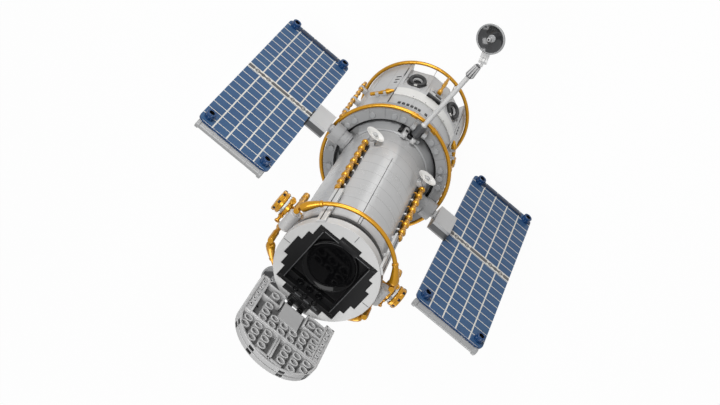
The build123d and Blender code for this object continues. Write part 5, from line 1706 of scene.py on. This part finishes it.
@dataclass
class ApertureDoor:
    """Open aperture door: sunk bays of tubes between ribs, a two-layer edge and the hinge."""
    hinge_y: float = -37.0
    hinge_z: float = 328.5
    open_angle: float = 90.0
    face: float = -8.0
    floor: float = -4.0
    strip: float = -6.3
    back: float = -1.6
    half: float = 30.8
    straight: float = 40.4
    heel: float = -4.8
    rim: float = 1.6
    bend_steps: int = 48
    bay_inset: float = 1.4
    cross_bar: float = 29.4
    face_ribs: tuple[tuple[float, float, float, float], ...] = (
        (9.4, 24.0, -0.5, 0.8), (9.4, 10.6, -0.5, 14.0), (10.6, 24.0, 13.4, 15.0), (0.15, 1.5, 41.6, 68.6),
        (0.4, 10.0, 66.0, 68.4))
    cross_seams: Profile = ((8.0, 60.0), (24.0, 60.0), (40.0, 60.0), (56.0, 51.0))
    long_seams: Profile = ((0.0, 16.0), (-15.0, 32.0), (15.0, 32.0), (0.0, 48.0))
    long_seam: float = 16.0
    slot_shade_angles: tuple[float, ...] = (27.0, 67.0, 113.0, 153.0)
    slot: Point = (1.9, 4.4, 1.4)
    slot_shade_inset: float = 1.7
    pitch: float = 7.6
    lone_tubes: Profile = ((-16.0, 7.0), (14.8, 7.0), (21.4, 7.0))
    peg_x: float = 27.4
    pegs: int = 5
    peg: Profile = ((1.6, 0), (1.6, 1.3), (1.4, 1.5), (0.8, 1.5), (0.7, 1.3))
    peg_bore_shade: Profile = ((0.7, 1.3), (0.7, 0.6), (0, 0.6))
    hole_shade_x: float = -22.4
    hole: Profile = ((1.1, 0.0), (1.1, 0.08), (0, 0.08))
    arm_half: float = 7.9
    arm_steps: int = 12
    arm_tail: float = 20.0
    tongue: Profile = ((5.0, -1.8), (5.0, -6.55), (2.4, -6.0), (0.4, -4.0), (-2.3, 0.8), (0.0, 2.35),
                       (5.0, 1.0))
    tongues: Profile = ((-7.9, -6.5), (-2.0, 2.0), (6.5, 7.9))
    finger_x: tuple[float, float] = (-4.25, 4.25)
    finger_half: float = 2.1
    finger_radius: float = 2.9
    finger_post: Point = (4.2, 4.0, 8.4)
    finger_foot: Point = (4.2, 6.0, 2.2)
    pin_radius: float = 1.4
    hinge_plate: Brick = Brick("black", (0.0, -31.6, 320.2), (16.4, 6.4, 1.0), 0.2)

    def place(self, x: float, s: float, lift: float) -> Matrix:
        """Place on the door.

        Args:
            x: distance across.
            s: distance away from the hinge.
            lift: distance out of its outer face.

        Returns:
            The matrix, its local z toward the inside.
        """
        turn = radians(self.open_angle)
        along, out = Vector((0, cos(turn), sin(turn))), Vector((0, -sin(turn), cos(turn)))
        return axes(Vector((x, self.hinge_y, self.hinge_z)) + along * s + out * lift, -out, RIGHT)

    def rib(self, stock: Stock, x: Sequence[float], s: Sequence[float], low: float, high: float) -> None:
        """Bar between two places across, two places along and two lifts.

        Args:
            stock: mesh that it goes into.
            x: start and end across the door.
            s: start and end away from the hinge.
            low: lift of its lower face.
            high: lift of its upper face.
        """
        middle = self.place(sum(x) / 2, sum(s) / 2, (low + high) / 2)
        stock.block(middle, (x[1] - x[0], s[1] - s[0], abs(high - low)), 0.15)

    def build(self) -> None:
        """Make every piece of the door."""
        self.plate()
        self.edge()
        self.tubes()
        self.arm()
        self.fingers()

    def bend(self, radius: float) -> list[tuple[float, float]]:
        """Points of the door's round end, from right to left."""
        turns = [pi * k / self.bend_steps for k in range(self.bend_steps + 1)]
        return [(radius * cos(a), self.straight + radius * sin(a)) for a in turns]

    def plate(self) -> None:
        """Back plate with raised ribs round its sunk bays, a near-black sheet of painted shade on the bay
        floors, and tile seams on its outer face.
        """
        plate = Stock("light_grey", "bay_shade_and_seam_grey")
        inner = self.half - 0.3
        lower = self.place(0, 0, self.back)
        flip = 1 if (lower.to_3x3() @ Vector((0, 1, 0))).z > 0 else -1
        outline = [*self.bend(inner), (-inner, -0.5), (inner, -0.5)]
        plate.slab(lower, [(x, flip * s) for x, s in outline], abs(self.floor - self.back))
        inner -= self.bay_inset
        bay = [*self.bend(inner), (-inner, 0.4), (inner, 0.4)]
        # This near-black sheet on the bay floors is painted shade.
        plate.use("bay_shade_and_seam_grey").slab(self.place(0, 0, self.floor + 0.1), [(x, flip * s) for x, s in bay], 0.18)
        plate.use("light_grey")
        heel, floor, face = self.heel, self.floor, self.face
        ribs = [(24.0, 30.5, heel, 0.4, self.back, self.strip), (24.0, 30.5, heel, heel + 1.4, floor, face),
                (24.0, 25.4, heel, 39.0, floor, face), (25.4, 29.3, heel, 38.8, floor, self.strip),
                *((*spot, floor, face) for spot in self.face_ribs)]
        for sign in (-1, 1):
            for near, far, start, end, low, high in ribs:
                self.rib(plate, sorted((sign * near, sign * far)), (start, end), low, high)
        bar = (-self.cross_bar, self.cross_bar)
        self.rib(plate, bar, (38.6, 40.0), floor, face)
        self.rib(plate, bar, (40.0, 41.8), floor, face + 0.5)
        outer = self.back + 0.02
        plate.use("bay_shade_and_seam_grey")
        for s, wide in self.cross_seams:
            plate.block(self.place(0, s, outer), (wide, 0.3, 0.1), 0.02)
        for x, s in self.long_seams:
            plate.block(self.place(x, s, outer), (0.3, self.long_seam, 0.1), 0.02)
        plate.build("door_plate", "door", Slot.LIGHT, ["door_panel"])

    def edge(self) -> None:
        """Rim of two curved layers, with black blocks of painted shade in its slots."""
        edge = Stock("light_grey", "black")
        r, rim, middle = self.half, self.rim, (self.face + self.back) / 2
        for low, high in ((self.back, middle + 0.12), (middle - 0.12, self.face)):
            section = [(r - rim, low), (r - 0.2, low), (r, low - 0.2), (r, high + 0.2), (r - 0.2, high),
                       (r - rim, high)]
            rows = []
            for reach, lift in section:
                line = [(reach, self.heel), *self.bend(reach), (-reach, self.heel)]
                rows.append([edge.mesh.verts.new(self.place(x, s, lift).translation) for x, s in line])
            for near, far in zip(rows, [*rows[1:], rows[0]]):
                edge.join(near, far, len(near) - 1)
            for tip in (0, -1):
                edge.face([row[tip] for row in rows])
        # Black blocks in the rim's slots: painted shade.
        for angle in self.slot_shade_angles:
            turn = radians(angle)
            ray = Vector((cos(turn), 0, sin(turn)))
            for layer in (self.face + self.slot_shade_inset, self.back - self.slot_shade_inset):
                root = self.place(0, self.straight, layer).translation
                edge.use("black").block(axes(root + ray * (r - 0.6), ray, (0, 1, 0)), self.slot, 0.1)
        edge.build("door_edge", "door", Slot.LIGHT, ["door_rim"])

    def tube_spots(self) -> list[tuple[float, float]]:
        """Places of the round tubes in the bays.

        Returns:
            Distance across and distance from the hinge of each tube.
        """
        grid = [(-16.4 + self.pitch * column, 21.0 + self.pitch * row)
                for column in range(6) for row in range(3)]
        spots = [(x, s) for x, s in grid if abs(x) > 10.5 or s > 26.0]
        for sign in (-1, 1):
            spots += [(sign * (7.8 + 8.0 * column), 46.2 + 7.5 * row)
                      for column in range(3) for row in range(3) if column < 2 or row < 2]
        return [*spots, *self.lone_tubes]

    def tubes(self) -> None:
        """Round tubes in the bays and small pegs in the side strips, with black discs of painted shade in
        their bores and in small holes of the bays.
        """
        tubes = Stock("light_grey", "black")
        deep = self.floor - self.face
        tube = [(3.15, 0), (3.15, deep - 0.1), (3.0, deep), (2.4, deep), (2.25, deep - 0.15), (2.2, 0.3)]
        for x, s in self.tube_spots():
            place = self.place(x, s, self.floor)
            tubes.use("light_grey").turned(place, tube, 28)
            # Black disc at the foot of each tube's bore: painted shade.
            tubes.use("black").turned(place, [(2.2, 0.3), (0, 0.3)], 28)
        for sign in (-1, 1):
            for row in range(self.pegs):
                place = self.place(sign * self.peg_x, 2.0 + self.pitch * 0.97 * row, self.strip)
                tubes.use("light_grey").turned(place, self.peg, 20)
                # Black bore of each peg: painted shade.
                tubes.use("black").turned(place, self.peg_bore_shade, 20)
        # Black discs for the small holes in the bays: painted shade.
        for s in (8.0, *(17.4 + self.pitch * k for k in range(1, 4))):
            tubes.use("black").turned(self.place(self.hole_shade_x, s, self.floor), self.hole, 20)
        tubes.build("door_tubes", "door", Slot.LIGHT)

    def arm(self) -> None:
        """Smooth hollowed arm with three tongues round the hinge's pin."""
        arm = Stock("light_grey")
        steps = self.arm_steps
        curve = [(4.4 + 21.4 * k / steps, -6.6 - 1.65 * (k / steps) ** 1.6) for k in range(steps + 1)]
        outline = [(self.arm_tail, self.back), (self.arm_tail, self.floor), (curve[-1][0], self.floor),
                   *reversed(curve), (4.4, -3.2), (4.4, self.back - 0.2)]
        self.loaf(arm, outline, -self.arm_half, self.arm_half)
        for low, high in self.tongues:
            self.loaf(arm, self.tongue, low, high)
        arm.build("door_hinge_arm", "door", Slot.LIGHT, ["door_arm"])

    def loaf(self, stock: Stock, outline: Profile, low: float, high: float) -> None:
        """Solid with one outline in s and lift, from one place across the door to another.

        Args:
            stock: mesh that it goes into.
            outline: corner points.
            low: start across the door.
            high: end across the door.
        """
        near, far = ([stock.mesh.verts.new(self.place(x, s, lift).translation) for s, lift in outline]
                     for x in (low, high))
        stock.face(near)
        stock.face(far[::-1])
        stock.join(near, far, len(outline))

    def fingers(self) -> None:
        """Black fingers of the hinge on the front face, with the pin through them."""
        fingers = Stock("black")
        y, z, half = self.hinge_y, self.hinge_z, self.finger_half
        for x in self.finger_x:
            fingers.rod((x - half, y, z), (x + half, y, z), self.finger_radius, 28, 0.3)
            fingers.block(upright(x, y + 0.9, 324.1), self.finger_post, 0.3)
            fingers.block(upright(x, y + 4.2, 321.2), self.finger_foot, 0.3)
        fingers.rod((-self.arm_half, y, z), (self.arm_half, y, z), self.pin_radius, 20, 0.2)
        fingers.bricks([self.hinge_plate], upright)
        fingers.build("hinge_fingers", BODY, Slot.BLACK, ["door_hinge_base"])


@dataclass(frozen=True)
class Lamp:
    """Soft square lamp: its place and side in millimetres and its power in watts."""
    name: str
    place: Point
    size: float
    power: float


@dataclass
class Studio:
    """Pale floor, soft light and the camera at the photograph's angle."""
    eye: Point = (-88.1, 408.6, 1021.4)
    right: Point = (0.7658, 0.6031, -0.2233)
    down: Point = (0.6364, -0.6606, 0.3981)
    look: Point = (0.0926, -0.447, -0.8897)
    focal_pixels: float = 1225.8
    image_width: float = 720.0
    sensor: float = 36.0
    floor_half: float = 6.0
    floor_tone: float = 0.9
    floor_bounce: float = 0.22
    emission_share: float = 0.95
    sky_bounce: float = 0.05
    aim: Point = (0, 0, 200)
    lamps: tuple[Lamp, ...] = (
        Lamp("key", (-420, 860, 520), 500, 6.6), Lamp("front", (-250, 250, 1500), 700, 10.2),
        Lamp("fill", (480, -900, 640), 700, 6.0))
    streak_angle: float = 99.0
    streak_reach: float = 166.0
    streak_z: float = 4.0
    streak_size: tuple[float, float] = (110.0, 64.0)
    streak_glow: float = 2.2

    def build(self) -> None:
        """Make the floor, the lights and the camera."""
        bpy.context.scene.view_settings.view_transform = "Standard"
        self.camera()
        self.floor()
        self.sky()
        for lamp in self.lamps:
            self.soft_light(lamp)
        self.streak()

    def add(self, name: str, data: bpy.types.ID) -> bpy.types.Object:
        """Put an object of the set into the scene.

        Args:
            name: its name.
            data: its mesh, light or camera.

        Returns:
            The object.
        """
        made = bpy.data.objects.new(name, data)
        bpy.context.scene.collection.objects.link(made)
        return made

    def camera(self) -> None:
        """Camera with the fitted place, turn and lens."""
        data = bpy.data.cameras.new("camera")
        data.sensor_width = self.sensor
        data.lens = self.focal_pixels / self.image_width * data.sensor_width
        data.clip_start, data.clip_end = 0.01, 50.0
        camera = self.add("camera", data)
        turn = Matrix((Vector(self.right), -Vector(self.down), -Vector(self.look))).transposed().to_4x4()
        camera.matrix_world = Matrix.Translation(Vector(self.eye) * MM) @ turn
        bpy.context.scene.camera = camera

    def seen(self, bench: Bench) -> bpy.types.NodeSocket:
        """Mask of the rays that show the white surroundings.

        Args:
            bench: tree that it goes into.

        Returns:
            The mask: one for camera, glossy and transmission rays.
        """
        rays = bench.add("ShaderNodeLightPath")
        passed = bench.math("MAXIMUM", rays.outputs["Is Glossy Ray"], rays.outputs["Is Transmission Ray"])
        return bench.math("MAXIMUM", rays.outputs["Is Camera Ray"], passed)

    def floor(self) -> None:
        """Wide white floor that keeps a faint shadow."""
        data = bpy.data.meshes.new("floor")
        half = self.floor_half
        corners = [(-half, -half, 0), (half, -half, 0), (half, half, 0), (-half, half, 0)]
        data.from_pydata(corners, [], [(0, 1, 2, 3)])
        material, bench, shader = blank("floor")
        shader.inputs["Roughness"].default_value = 0.9
        shader.inputs["Specular IOR Level"].default_value = 0.0
        seen = self.seen(bench)
        bounce, tone = (*[self.floor_bounce] * 3, 1), (*[self.floor_tone] * 3, 1)
        bench.feed(shader.inputs["Base Color"], bench.mix(seen, bounce, tone))
        white = bench.add("ShaderNodeEmission", {"Color": WHITE, "Strength": 1.0})
        share = bench.math("MULTIPLY", seen, self.emission_share)
        mix = bench.add("ShaderNodeMixShader", {0: share, 1: shader.outputs[0], 2: white.outputs[0]})
        bench.feed(material.node_tree.nodes["Material Output"].inputs["Surface"], mix.outputs[0])
        data.materials.append(material)
        self.add("floor", data)

    def sky(self) -> None:
        """Even white surroundings."""
        world = bpy.data.worlds.new("studio")
        bpy.context.scene.world = world
        world.use_nodes = True
        bench = Bench(world.node_tree)
        back = world.node_tree.nodes["Background"]
        back.inputs["Color"].default_value = WHITE
        bench.feed(back.inputs["Strength"], bench.ramp(self.seen(bench), 0, 1, self.sky_bounce, 1.0))

    def soft_light(self, lamp: Lamp) -> None:
        """Soft square lamp aimed at the model's middle.

        Args:
            lamp: its place, size and power.
        """
        data = bpy.data.lights.new(lamp.name, "AREA")
        data.size = lamp.size * MM
        data.energy = lamp.power
        turn = (Vector(self.aim) - Vector(lamp.place)).to_track_quat("-Z", "Y").to_matrix().to_4x4()
        self.add(lamp.name, data).matrix_world = Matrix.Translation(Vector(lamp.place) * MM) @ turn

    def streak(self) -> None:
        """Narrow strip lamp on the floor that draws the bright streak along the tube."""
        data = bpy.data.lights.new("streak", "AREA")
        data.shape = "RECTANGLE"
        data.size, data.size_y = (side * MM for side in self.streak_size)
        data.energy = self.streak_glow * pi * data.size * data.size_y
        lamp = self.add("streak", data)
        turn = radians(self.streak_angle)
        out = Vector((cos(turn), sin(turn), 0))
        place = out * self.streak_reach + Vector((0, 0, self.streak_z))
        lamp.matrix_world = axes(place * MM, (0, 0, -1), out)
        lamp.visible_camera = False


def main() -> None:
    """Build the sub-assemblies in order."""
    logging.basicConfig(level=logging.INFO, format="%(name)s: %(message)s")
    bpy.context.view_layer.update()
    parts: list[Part] = [
        Studio(), AftSection(), EquipmentDeck(), TubeRails(), FrontEnd(),
        *(ValveCluster(side) for side in Side), *(SolarArray(side) for side in Side),
        *(Antenna(end) for end in End), ApertureDoor()]
    for part in parts:
        LOG.info("building %s", type(part).__name__)
        part.build()


if __name__ == "__main__":
    main()
